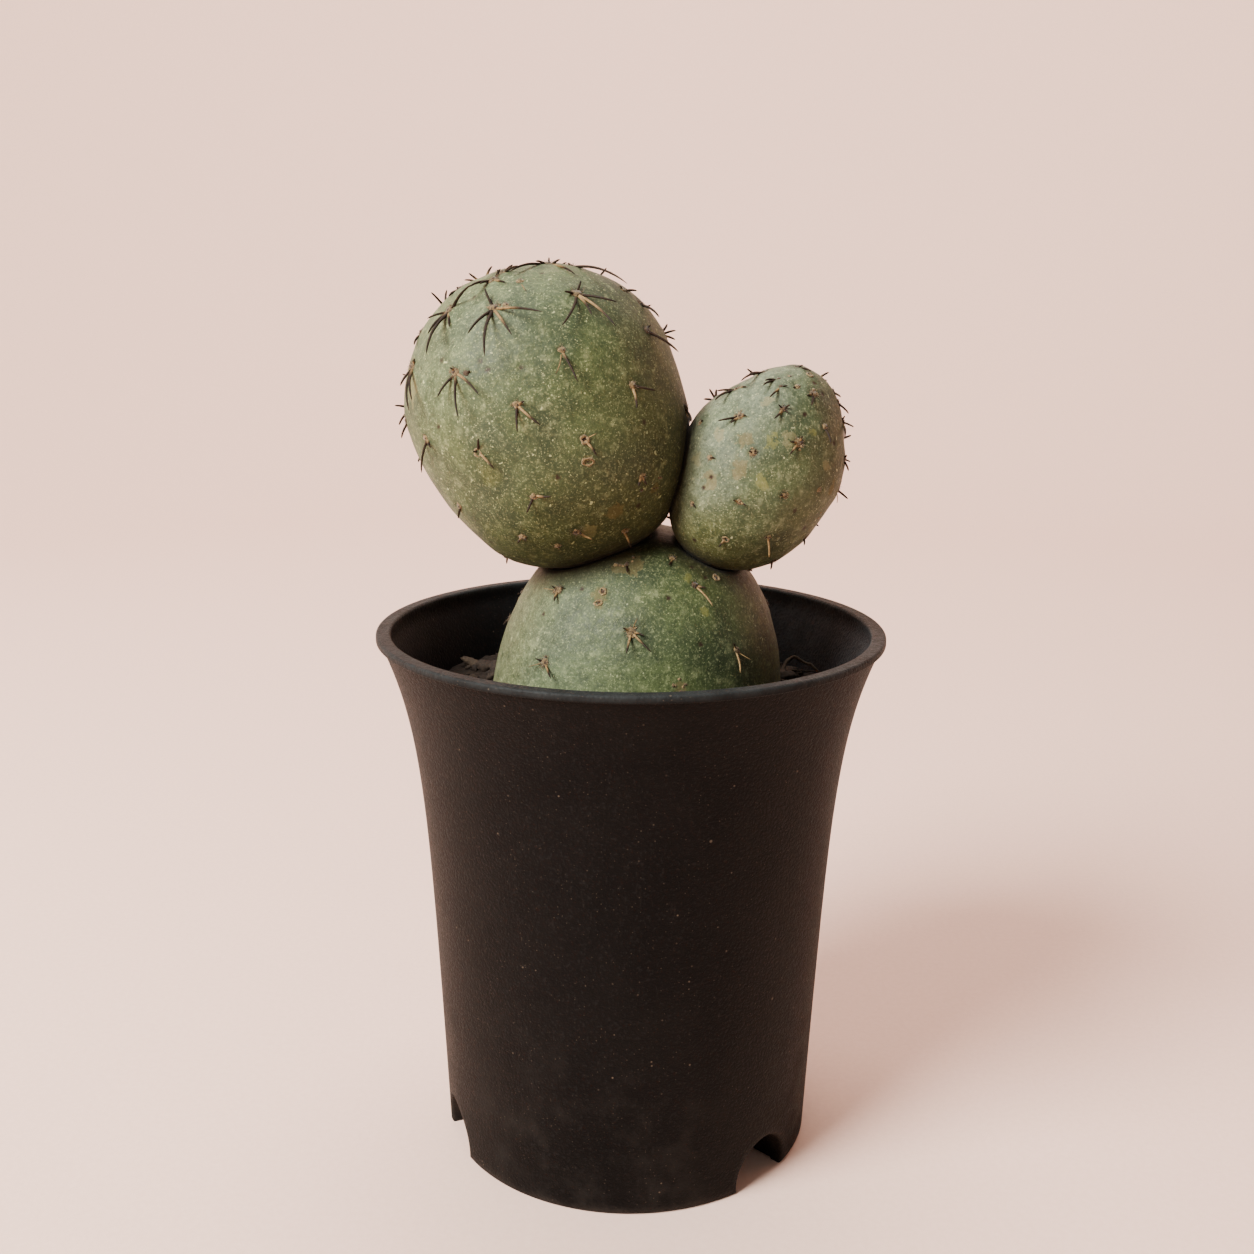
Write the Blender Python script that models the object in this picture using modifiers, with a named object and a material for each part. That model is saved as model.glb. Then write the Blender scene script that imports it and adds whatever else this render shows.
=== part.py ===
"""Potted jointed cactus: three swollen stem joints with spines, soil, and a flared plastic pot.

Metres, +Z up. The origin is the centre of the pot's foot, on the surface it
stands on. The front of the plant faces -Y, and +X is to its right.
"""

import math

import bmesh
import bpy
from mathutils import Euler, Matrix, Vector

MM = 0.001
GAP = 0.3 * MM  # clearance between neighbouring pieces

# ---- pot: a flared, moulded plastic pot ----
POT_HEIGHT = 96.0 * MM
RIM_RADIUS = 45.0 * MM
LIP_WIDTH = 2.6 * MM
LIP_EDGE = 1.1 * MM  # height of the upright outer edge of the lip
LIP_UNDERCUT = 0.45 * MM
FOOT_RADIUS = 33.87 * MM
WALL_SLOPE = 0.0441  # radius gained for each unit of height
FLARE = 7.29 * MM  # extra radius that the flare adds at the rim
FLARE_LENGTH = 13.77 * MM  # height over which the flare dies away
WALL = 1.8 * MM
SKIRT = 2.6 * MM  # thickness of the wall where it stands on the surface
FOOT_WIDTH = 8.2 * MM  # from the skirt's outside to the inside of the ring within it
RING = 1.8 * MM  # thickness of that inner ring
PLATE_UNDER = 9.0 * MM  # underside of the raised bottom plate
PLATE_TOP = 11.0 * MM
ARCH_ANGLES = (45.8, -68.2, 168.8)  # degrees from the front, towards +X
ARCH_HALF_WIDTH = 6.15 * MM
ARCH_HEIGHT = 8.6 * MM
ARCH_CENTRE = 1.5 * MM  # height of the arch's centre line
ARCH_WALL = 1.6 * MM  # walls of the tunnels that lead in from the arches
DRAIN_RADIUS = 3.0 * MM
DRAIN_CIRCLE = 15.0 * MM
DRAIN_COUNT = 6
POT_STEPS = 60

# ---- soil ----
SOIL_LEVEL = 83.2 * MM
SOIL_CROWN = 0.9 * MM  # how much it rises towards the plant
SOIL_STEPS = 36

# ---- cactus joints ----
# centre; half height above and below it; half width; depth over width;
# squareness (1 is an ellipse, less is fuller); taper to the tip; fullness
# at both ends; taper below the centre; lean in degrees towards +X.
JOINTS = {
    "base_joint": dict(
        centre=(1.0, 0.0, 82.6), up=31.1, down=26.0, half_width=25.8, depth=0.97,
        square=0.66, taper=-0.205, ends=0.0, taper_low=0.10, lean=7.2),
    "large_joint": dict(
        centre=(-13.79, -4.5, 132.52), up=26.1, down=26.1, half_width=23.06, depth=0.95,
        square=0.917, taper=0.107, ends=-0.074, taper_low=0.107, lean=-23.2),
    "small_joint": dict(
        centre=(21.2, -7.0, 125.0), up=18.5, down=18.5, half_width=13.5, depth=0.97,
        square=0.981, taper=-0.04, ends=-0.072, taper_low=-0.04, lean=29.6),
}

# ---- areoles: (turn round the joint from its front towards +X, angle down
# from its tip), in degrees, with the number of spines and the longest one, in
# millimetres. The first rows of each joint are on its front, the rest behind. ----
AREOLES = {
    "large_joint": (
        (2, 41, 4, 6.5), (41, 49, 4, 5.0), (-35, 30, 4, 6.5), (-26, 60, 3, 6.8),
        (-63, 49, 4, 6.5), (21, 68, 2, 5.0), (-4, 79, 2, 5.0), (-28, 89, 2, 4.0),
        (42, 88, 3, 3.8), (67, 73, 2, 4.5), (84, 50, 3, 4.5), (77, 25, 3, 3.6),
        (14, 98, 2, 3.6), (-16, 107, 2, 4.4), (-6, 128, 2, 2.6), (-56, 79, 3, 5.0),
        (-60, 104, 2, 3.0), (-95, 66, 3, 5.0), (120, 46, 3, 5.0), (168, 30, 3, 3.6),
        (-150, 52, 4, 6.0), (158, 74, 3, 5.0), (-118, 92, 3, 5.0), (-165, 98, 2, 4.0),
    ),
    "small_joint": (
        (-40, 36, 2, 4.0), (7, 36, 3, 3.4), (-17, 55, 4, 3.0), (-42, 69, 2, 4.4),
        (27, 50, 2, 3.2), (9, 67, 2, 2.8), (-15, 84, 2, 2.6), (19, 93, 2, 2.6),
        (43, 82, 2, 2.8), (-7, 107, 2, 2.4), (28, 115, 2, 3.6), (81, 48, 3, 3.4),
        (80, 77, 2, 3.0), (62, 103, 2, 2.6), (135, 40, 3, 3.6), (-135, 46, 3, 3.6),
        (172, 66, 3, 3.4), (120, 82, 3, 3.2),
    ),
    "base_joint": (
        (-52, 60, 3, 2.8), (22, 46, 2, 4.2), (-7, 67, 4, 4.6), (-42, 80, 2, 3.4),
        (40, 69, 2, 4.2), (-92, 70, 3, 3.6), (88, 60, 3, 3.4), (128, 58, 3, 3.8),
        (-130, 62, 3, 3.8), (175, 52, 3, 3.8),
    ),
}
CUSHION_RADIUS = 1.0 * MM
CUSHION_FLATNESS = 0.55
SPINE_TIP = 0.22  # thickness of the tip over that of the root
SPINE_SPLAY = 52.0  # degrees from the areole's normal
SPINE_FAN = 205.0  # degrees over which the spines fan out, about straight down
SPINE_REACH = 44.6 * MM  # no spine goes further out than the rim

# ---- roots, hidden in the soil ----
ROOT_TOP_RADIUS = 5.2 * MM
ROOT_LENGTH = 24.0 * MM
SIDE_ROOTS = 5
SIDE_ROOT_RADIUS = 1.3 * MM

# ---- colours: base colour, roughness, metallic ----
LOOKS = {
    "pot": ((0.012, 0.010, 0.009), 0.55, 0.0),
    "soil": ((0.045, 0.028, 0.018), 0.95, 0.0),
    "roots": ((0.20, 0.13, 0.075), 0.9, 0.0),
    "base_joint": ((0.16, 0.19, 0.12), 0.55, 0.0),
    "large_joint": ((0.15, 0.18, 0.10), 0.55, 0.0),
    "small_joint": ((0.17, 0.20, 0.12), 0.55, 0.0),
    "spines": ((0.10, 0.055, 0.03), 0.6, 0.0),
}


def clear_scene():
    for obj in list(bpy.data.objects):
        bpy.data.objects.remove(obj, do_unlink=True)


def new_collection(name):
    made = bpy.data.collections.new(name)
    bpy.context.scene.collection.children.link(made)
    return made


def new_material(name, look):
    colour, roughness, metallic = LOOKS[look]
    made = bpy.data.materials.new(name)
    made.use_nodes = True
    shader = made.node_tree.nodes["Principled BSDF"]
    shader.inputs["Base Color"].default_value = (*colour, 1.0)
    shader.inputs["Roughness"].default_value = roughness
    shader.inputs["Metallic"].default_value = metallic
    return made


def object_from(bm, name, collection, material=None):
    mesh = bpy.data.meshes.new(name)
    bm.to_mesh(mesh)
    bm.free()
    if material:
        mesh.materials.append(material)
    made = bpy.data.objects.new(name, mesh)
    collection.objects.link(made)
    return made


def turned(name, profile, steps, collection, material=None):
    """A solid turned about Z from a profile of (radius, height) points that starts and ends on the axis."""
    bm = bmesh.new()
    points = [bm.verts.new((radius, 0.0, height)) for radius, height in profile]
    for a, b in zip(points, points[1:]):
        bm.edges.new((a, b))
    made = object_from(bm, name, collection, material)
    screw = made.modifiers.new("turn", "SCREW")
    screw.axis = "Z"
    screw.angle = math.tau
    screw.steps = screw.render_steps = steps
    screw.use_merge_vertices = True
    screw.merge_threshold = 0.00002
    return made


def boolean(obj, cutter, operation):
    made = obj.modifiers.new(cutter.name, "BOOLEAN")
    made.operation = operation
    made.solver = "EXACT"
    made.object = cutter


def helper(obj):
    obj.hide_render = True
    obj.display_type = "WIRE"
    return obj


def smooth(obj, angle=35.0):
    for polygon in obj.data.polygons:
        polygon.use_smooth = True
    if len(obj.data.polygons):
        obj.data.set_sharp_from_angle(angle=math.radians(angle))


# ---------------------------------------------------------------- pot
def wall_radius(height):
    return (FOOT_RADIUS + WALL_SLOPE * height
            + FLARE * math.exp((height - POT_HEIGHT) / FLARE_LENGTH))


def inner_radius(height):
    return wall_radius(height) - WALL


def pot_profile():
    rows = 9
    top = POT_HEIGHT
    foot_in = FOOT_RADIUS - FOOT_WIDTH
    inside = [(0.0, PLATE_TOP), (inner_radius(PLATE_TOP) - 1.0 * MM, PLATE_TOP)]
    low, high = PLATE_TOP + 1.0 * MM, top - 0.7 * MM
    inside.append((inner_radius(low), low))
    for i in range(1, rows + 1):
        # closer together towards the flare
        share = 1.0 - (1.0 - i / rows) ** 1.7
        height = low + (high - low) * share
        radius = min(inner_radius(height), RIM_RADIUS - LIP_WIDTH)
        inside.append((radius, height))
    lip = [(RIM_RADIUS - LIP_WIDTH + 0.5 * MM, top),
           (RIM_RADIUS - 0.35 * MM, top), (RIM_RADIUS, top - 0.35 * MM),
           (RIM_RADIUS, top - LIP_EDGE)]
    outside = []
    low, high = 0.5 * MM, top - LIP_EDGE - 0.15 * MM
    for i in range(rows + 1):
        share = 1.0 - (i / rows) ** 1.7 if i else 1.0
        height = low + (high - low) * share
        under = LIP_UNDERCUT * math.exp((height - high) / (4.0 * MM))
        outside.append((wall_radius(height) - under, height))
    skirt_in = FOOT_RADIUS - SKIRT
    foot = [(FOOT_RADIUS - 0.5 * MM, 0.0), (skirt_in, 0.0), (inner_radius(6.0 * MM), 6.0 * MM),
            (inner_radius(6.0 * MM), PLATE_UNDER), (foot_in + RING, PLATE_UNDER),
            (foot_in + RING, 0.0), (foot_in, 0.0),
            (foot_in, PLATE_UNDER - 0.6 * MM), (foot_in - 0.6 * MM, PLATE_UNDER),
            (0.0, PLATE_UNDER)]
    return inside + lip + outside + foot


def arch(name, collection, grow, near, far, angle, floor=None):
    """An arched tunnel lying along a radius: a cylinder made taller than it is wide. A floor slices off what is under it."""
    bm = bmesh.new()
    bmesh.ops.create_cone(bm, cap_ends=True, segments=20, radius1=1.0, radius2=1.0, depth=1.0)
    half, rise = ARCH_HALF_WIDTH + grow, ARCH_HEIGHT - ARCH_CENTRE + grow
    # the cylinder's own axis becomes the radius
    bmesh.ops.rotate(bm, verts=bm.verts, matrix=Matrix.Rotation(math.radians(90), 3, "X"))
    bmesh.ops.scale(bm, verts=bm.verts, vec=(half, far - near, rise))
    bmesh.ops.translate(bm, verts=bm.verts, vec=(0.0, -(near + far) / 2, ARCH_CENTRE))
    if floor is not None:
        cut = bmesh.ops.bisect_plane(
            bm, geom=bm.verts[:] + bm.edges[:] + bm.faces[:], plane_co=(0, 0, floor),
            plane_no=(0, 0, 1), clear_inner=True)
        edges = [e for e in cut["geom_cut"] if isinstance(e, bmesh.types.BMEdge)]
        bmesh.ops.holes_fill(bm, edges=edges)
        bmesh.ops.recalc_face_normals(bm, faces=bm.faces)
    made = helper(object_from(bm, name, collection))
    made.rotation_euler = (0.0, 0.0, math.radians(angle))
    return made


def build_pot(parts, cutters):
    pot = turned("pot", pot_profile(), POT_STEPS, parts, new_material("pot_plastic", "pot"))
    foot_in = FOOT_RADIUS - FOOT_WIDTH
    for i, angle in enumerate(ARCH_ANGLES):
        lining = arch(f"arch_lining_{i}", cutters, ARCH_WALL, foot_in + 0.8 * MM,
                      FOOT_RADIUS - 0.9 * MM, angle, floor=0.3 * MM)
        boolean(pot, lining, "UNION")
    for i, angle in enumerate(ARCH_ANGLES):
        tunnel = arch(f"arch_tunnel_{i}", cutters, 0.0, foot_in - 3.0 * MM,
                      FOOT_RADIUS + 5.0 * MM, angle)
        boolean(pot, tunnel, "DIFFERENCE")
    for i in range(DRAIN_COUNT + 1):
        turn = math.tau * (i - 1) / DRAIN_COUNT + math.radians(12)
        reach = DRAIN_CIRCLE if i else 0.0
        bm = bmesh.new()
        bmesh.ops.create_cone(bm, cap_ends=True, segments=14, radius1=DRAIN_RADIUS,
                              radius2=DRAIN_RADIUS, depth=8.0 * MM)
        drain = helper(object_from(bm, f"drain_{i}", cutters))
        drain.location = (reach * math.cos(turn), reach * math.sin(turn), 10.0 * MM)
        boolean(pot, drain, "DIFFERENCE")
    smooth(pot)
    return pot


# ---------------------------------------------------------------- joints
def joint_point(form, polar, turn, grow=0.0):
    """Local point of a joint's surface: polar angle down from its tip, turn round it from the front towards +X."""
    c, s = math.cos(polar), max(math.sin(polar), 0.0)
    reach = form["up"] if c >= 0 else form["down"]
    taper = form["taper"] if c >= 0 else form["taper_low"]
    height = reach * MM * math.copysign(abs(c) ** form["square"], c)
    radius = form["half_width"] * MM * s ** form["square"] * (1 + taper * c + form["ends"] * c * c)
    point = Vector((radius * math.sin(turn), -radius * form["depth"] * math.cos(turn), height))
    if grow:
        point += joint_normal(form, polar, turn) * grow
    return point


def joint_normal(form, polar, turn):
    step = 1e-3
    polar = min(max(polar, 3 * step), math.pi - 3 * step)
    down = joint_point(form, polar + step, turn) - joint_point(form, polar - step, turn)
    side = joint_point(form, polar, turn + step) - joint_point(form, polar, turn - step)
    return down.cross(side).normalized()


def joint_placing(form):
    return Matrix.LocRotScale(Vector(form["centre"]) * MM,
                              Euler((0.0, math.radians(form["lean"]), 0.0)), None)


def joint_body(name, form, collection, columns, rows, grow=0.0, material=None):
    """A globe whose rings are drawn out to the joint's egg shape."""
    bm = bmesh.new()
    bmesh.ops.create_uvsphere(bm, u_segments=columns, v_segments=rows, radius=1.0)
    for vert in bm.verts:
        x, y, z = vert.co
        polar = math.acos(max(-1.0, min(1.0, z)))
        vert.co = joint_point(form, polar, math.atan2(x, -y), grow)
    made = object_from(bm, name, collection, material)
    placing = joint_placing(form)
    made.location = placing.to_translation()
    made.rotation_euler = placing.to_euler()
    return made


def build_joints(parts, cutters):
    made = {}
    sizes = {"base_joint": (32, 18), "large_joint": (32, 20), "small_joint": (26, 16)}
    for name, form in JOINTS.items():
        columns, rows = sizes[name]
        made[name] = joint_body(name, form, parts, columns, rows,
                                material=new_material(f"{name}_skin", name))
    # the upper joints grow out of shallow seats in the shoulders of the base joint,
    # and the small one presses a shallow dent into the side of the large one
    for name in ("large_joint", "small_joint"):
        columns, rows = sizes[name]
        seat = helper(joint_body(f"{name}_seat", JOINTS[name], cutters, columns, rows, GAP))
        boolean(made["base_joint"], seat, "DIFFERENCE")
        if name == "small_joint":
            boolean(made["large_joint"], seat, "DIFFERENCE")
    for joint in made.values():
        smooth(joint)
    return made


# ---------------------------------------------------------------- soil and roots
def soil_profile():
    rows = 6
    edge = inner_radius(SOIL_LEVEL) - GAP
    top = [(0.0, SOIL_LEVEL + SOIL_CROWN)]
    for i in range(1, 4):
        share = i / 3
        top.append((edge * share, SOIL_LEVEL + SOIL_CROWN * (1 - share ** 2)))
    side = []
    low = PLATE_TOP + 1.0 * MM + GAP
    for i in range(1, rows + 1):
        height = SOIL_LEVEL + (low - SOIL_LEVEL) * (i / rows) ** 1.6
        side.append((inner_radius(height) - GAP - 0.1 * MM, height))
    bottom = [(inner_radius(PLATE_TOP) - 1.1 * MM - GAP, PLATE_TOP + GAP), (0.0, PLATE_TOP + GAP)]
    return top + side + bottom


def root_profile(grow=0.0):
    """The crown under the base joint, tapering down to a blunt taproot."""
    form = JOINTS["base_joint"]
    start = (form["centre"][2] - form["down"]) * MM - GAP + grow
    rows = 7
    points = [(0.0, start)]
    for i in range(rows + 1):
        share = i / rows
        radius = ROOT_TOP_RADIUS * (1 - share) ** 0.75 + 0.9 * MM
        points.append((radius + grow, start - 0.5 * MM - ROOT_LENGTH * share - grow * share * 2))
    points.append((0.0, start - 1.2 * MM - ROOT_LENGTH - 2 * grow))
    return points


def side_root(name, index, collection, grow):
    """One root curving out and down from the crown, as a bevelled curve made into a mesh."""
    form = JOINTS["base_joint"]
    start = (form["centre"][2] - form["down"]) * MM - 5.0 * MM
    curve = bpy.data.curves.new(name, "CURVE")
    curve.dimensions = "3D"
    curve.bevel_depth = SIDE_ROOT_RADIUS + grow
    curve.bevel_resolution = 1
    curve.use_fill_caps = True
    count = 7
    spline = curve.splines.new("POLY")
    spline.points.add(count - 1)
    turn = math.tau * index / SIDE_ROOTS + 0.35
    for i, point in enumerate(spline.points):
        share = i / (count - 1)
        share += 0.02 * (grow / GAP) if i == count - 1 else 0.0
        out = (1.5 + 22.0 * share) * MM
        bend = turn + 0.35 * math.sin(2.6 * share + index)
        point.co = (out * math.cos(bend), out * math.sin(bend),
                    start - (4.0 * index % 7) * MM - (6.0 + 3.0 * (index % 3)) * MM * share ** 1.6, 1.0)
        point.radius = 1.0 - 0.45 * min(share, 1.0)
    source = bpy.data.objects.new(name, curve)
    collection.objects.link(source)
    bpy.context.view_layer.update()
    graph = bpy.context.evaluated_depsgraph_get()
    mesh = bpy.data.meshes.new_from_object(source.evaluated_get(graph))
    bm = bmesh.new()
    bm.from_mesh(mesh)
    bmesh.ops.remove_doubles(bm, verts=bm.verts, dist=1e-6)
    bm.to_mesh(mesh)
    bm.free()
    made = bpy.data.objects.new(f"{name}_solid", mesh)
    made.matrix_world = source.matrix_world
    collection.objects.link(made)
    bpy.data.objects.remove(source, do_unlink=True)
    return helper(made)


def build_soil_and_roots(parts, cutters):
    centre = JOINTS["base_joint"]["centre"]
    roots = turned("roots", root_profile(), 16, parts, new_material("root_bark", "roots"))
    roots.location = (centre[0] * MM, centre[1] * MM, 0.0)
    soil = turned("soil", soil_profile(), SOIL_STEPS, parts, new_material("soil_mix", "soil"))
    pocket = helper(joint_body("joint_pocket", JOINTS["base_joint"], cutters, 32, 18, GAP))
    boolean(soil, pocket, "DIFFERENCE")
    crown = helper(turned("root_pocket", root_profile(GAP), 16, cutters))
    crown.location = roots.location
    boolean(soil, crown, "DIFFERENCE")
    for i in range(SIDE_ROOTS):
        root = side_root(f"side_root_{i}", i, cutters, 0.0)
        root.location = roots.location
        boolean(roots, root, "UNION")
        space = side_root(f"side_root_space_{i}", i, cutters, GAP)
        space.location = roots.location
        boolean(soil, space, "DIFFERENCE")
    smooth(soil)
    smooth(roots)


# ---------------------------------------------------------------- spines
def spine_cluster(name, form, turn, polar, count, longest, parts, material, order):
    """A woolly cushion, a flattened icosahedron, with some of its faces drawn out into spines."""
    bm = bmesh.new()
    bmesh.ops.create_icosphere(bm, subdivisions=1, radius=CUSHION_RADIUS)
    bmesh.ops.scale(bm, verts=bm.verts, vec=(1.0, 1.0, CUSHION_FLATNESS))
    placing = joint_placing(form)
    turn, polar = math.radians(turn), math.radians(polar)
    normal = joint_normal(form, polar, turn)
    centre = joint_point(form, polar, turn) + normal * (CUSHION_RADIUS * CUSHION_FLATNESS + 1.3 * GAP)
    # local x of the cushion points down the joint, away from its tip
    down = Vector((0, 0, -1)) - normal * Vector((0, 0, -1)).dot(normal)
    down.normalize()
    frame = Matrix((down, normal.cross(down), normal)).transposed().to_4x4()
    frame.translation = centre
    world = placing @ frame
    free = [face for face in bm.faces if face.normal.z > 0.15]
    for i in range(count):
        around = math.radians(14.0 * math.sin(3.1 * order)
                              + SPINE_FAN * ((i + 0.5) / count - 0.5) * (-1) ** order)
        splay = math.radians(SPINE_SPLAY + 9.0 * math.cos(2.3 * order + 1.7 * i))
        length = longest * MM * (1.0 - 0.15 * ((i + order) % count))
        way = Vector((math.sin(splay) * math.cos(around), math.sin(splay) * math.sin(around),
                      math.cos(splay)))
        # held inside the circle of the rim
        while True:
            tip = world @ (way * length)
            if max(abs(tip.x), abs(tip.y)) < SPINE_REACH:
                break
            length *= 0.92
        face = max(free, key=lambda f: f.normal.dot(way))
        free.remove(face)
        bmesh.ops.inset_individual(bm, faces=[face], thickness=0.17 * MM, use_even_offset=True)
        root = face.calc_center_median()
        drawn = bmesh.ops.extrude_discrete_faces(bm, faces=[face])["faces"][0]
        for vert in drawn.verts:
            vert.co = root + way * length + (vert.co - root) * SPINE_TIP
    bm.normal_update()
    made = object_from(bm, name, parts, material)
    made.location = world.to_translation()
    made.rotation_euler = world.to_euler()
    return made


def build_spines(parts):
    material = new_material("spines", "spines")
    for joint, rows in AREOLES.items():
        kind = joint.split("_")[0]
        for i, (turn, polar, count, longest) in enumerate(rows):
            spine_cluster(f"spines_{kind}_{i + 1:02d}", JOINTS[joint], turn, polar, count,
                          longest, parts, material, i)


def main():
    clear_scene()
    parts = new_collection("potted_jointed_cactus")
    cutters = new_collection("cutters")
    build_pot(parts, cutters)
    build_joints(parts, cutters)
    build_soil_and_roots(parts, cutters)
    build_spines(parts)


main()
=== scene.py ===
"""Looks for the potted jointed cactus: skin, areoles and spines, soil and pot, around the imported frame."""

import math

import bmesh
import bpy
import numpy as np
from mathutils import Euler, Matrix, Vector


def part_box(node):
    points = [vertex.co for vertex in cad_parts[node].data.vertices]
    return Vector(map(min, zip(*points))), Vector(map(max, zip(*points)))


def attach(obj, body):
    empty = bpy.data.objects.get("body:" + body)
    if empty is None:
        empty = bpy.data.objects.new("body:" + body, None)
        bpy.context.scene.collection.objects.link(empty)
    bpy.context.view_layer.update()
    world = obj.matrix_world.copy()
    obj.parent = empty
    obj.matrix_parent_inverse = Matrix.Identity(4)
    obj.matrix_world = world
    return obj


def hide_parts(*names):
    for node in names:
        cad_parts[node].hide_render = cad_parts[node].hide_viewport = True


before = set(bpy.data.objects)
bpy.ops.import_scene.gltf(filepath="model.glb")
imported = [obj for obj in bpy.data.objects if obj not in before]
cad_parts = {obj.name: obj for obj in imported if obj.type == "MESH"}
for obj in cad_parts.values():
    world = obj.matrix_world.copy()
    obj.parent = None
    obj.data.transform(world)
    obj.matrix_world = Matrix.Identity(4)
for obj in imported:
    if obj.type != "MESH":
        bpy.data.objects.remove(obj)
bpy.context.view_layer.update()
MM = 0.001

# ------------------------------------------------------------------ the joints' form, as in the CAD
# millimetres and degrees; swells are (order, cosine, sine) of gentle departures of the outline
JOINTS = {
    "base_joint": dict(
        centre=(1.0, 0.0, 82.6), up=31.1, down=26.0, half_width=25.8, depth=0.97,
        square=0.66, taper=-0.205, ends=0.0, taper_low=0.10, lean=7.2,
        swells=((0, 0.001, 0.0), (1, 0.001, 0.0), (3, 0.0, 0.002))),
    "large_joint": dict(
        centre=(-13.79, -4.5, 132.52), up=26.1, down=26.1, half_width=23.06, depth=0.95,
        square=0.917, taper=0.107, ends=-0.074, taper_low=0.107, lean=-23.2,
        swells=((0, 0.003, 0.0), (1, -0.007, 0.0115), (2, -0.003, -0.011), (3, 0.0125, -0.001),
                (4, -0.012, 0.0), (5, 0.011, -0.0045))),
    "small_joint": dict(
        centre=(21.2, -7.0, 125.0), up=18.5, down=18.5, half_width=13.5, depth=0.97,
        square=0.981, taper=-0.04, ends=-0.072, taper_low=-0.04, lean=29.6,
        swells=((1, -0.0045, 0.0065), (2, -0.001, 0.0), (3, -0.007, 0.0), (4, 0.006, 0.006),
                (5, 0.011, -0.0105))),
}

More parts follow.
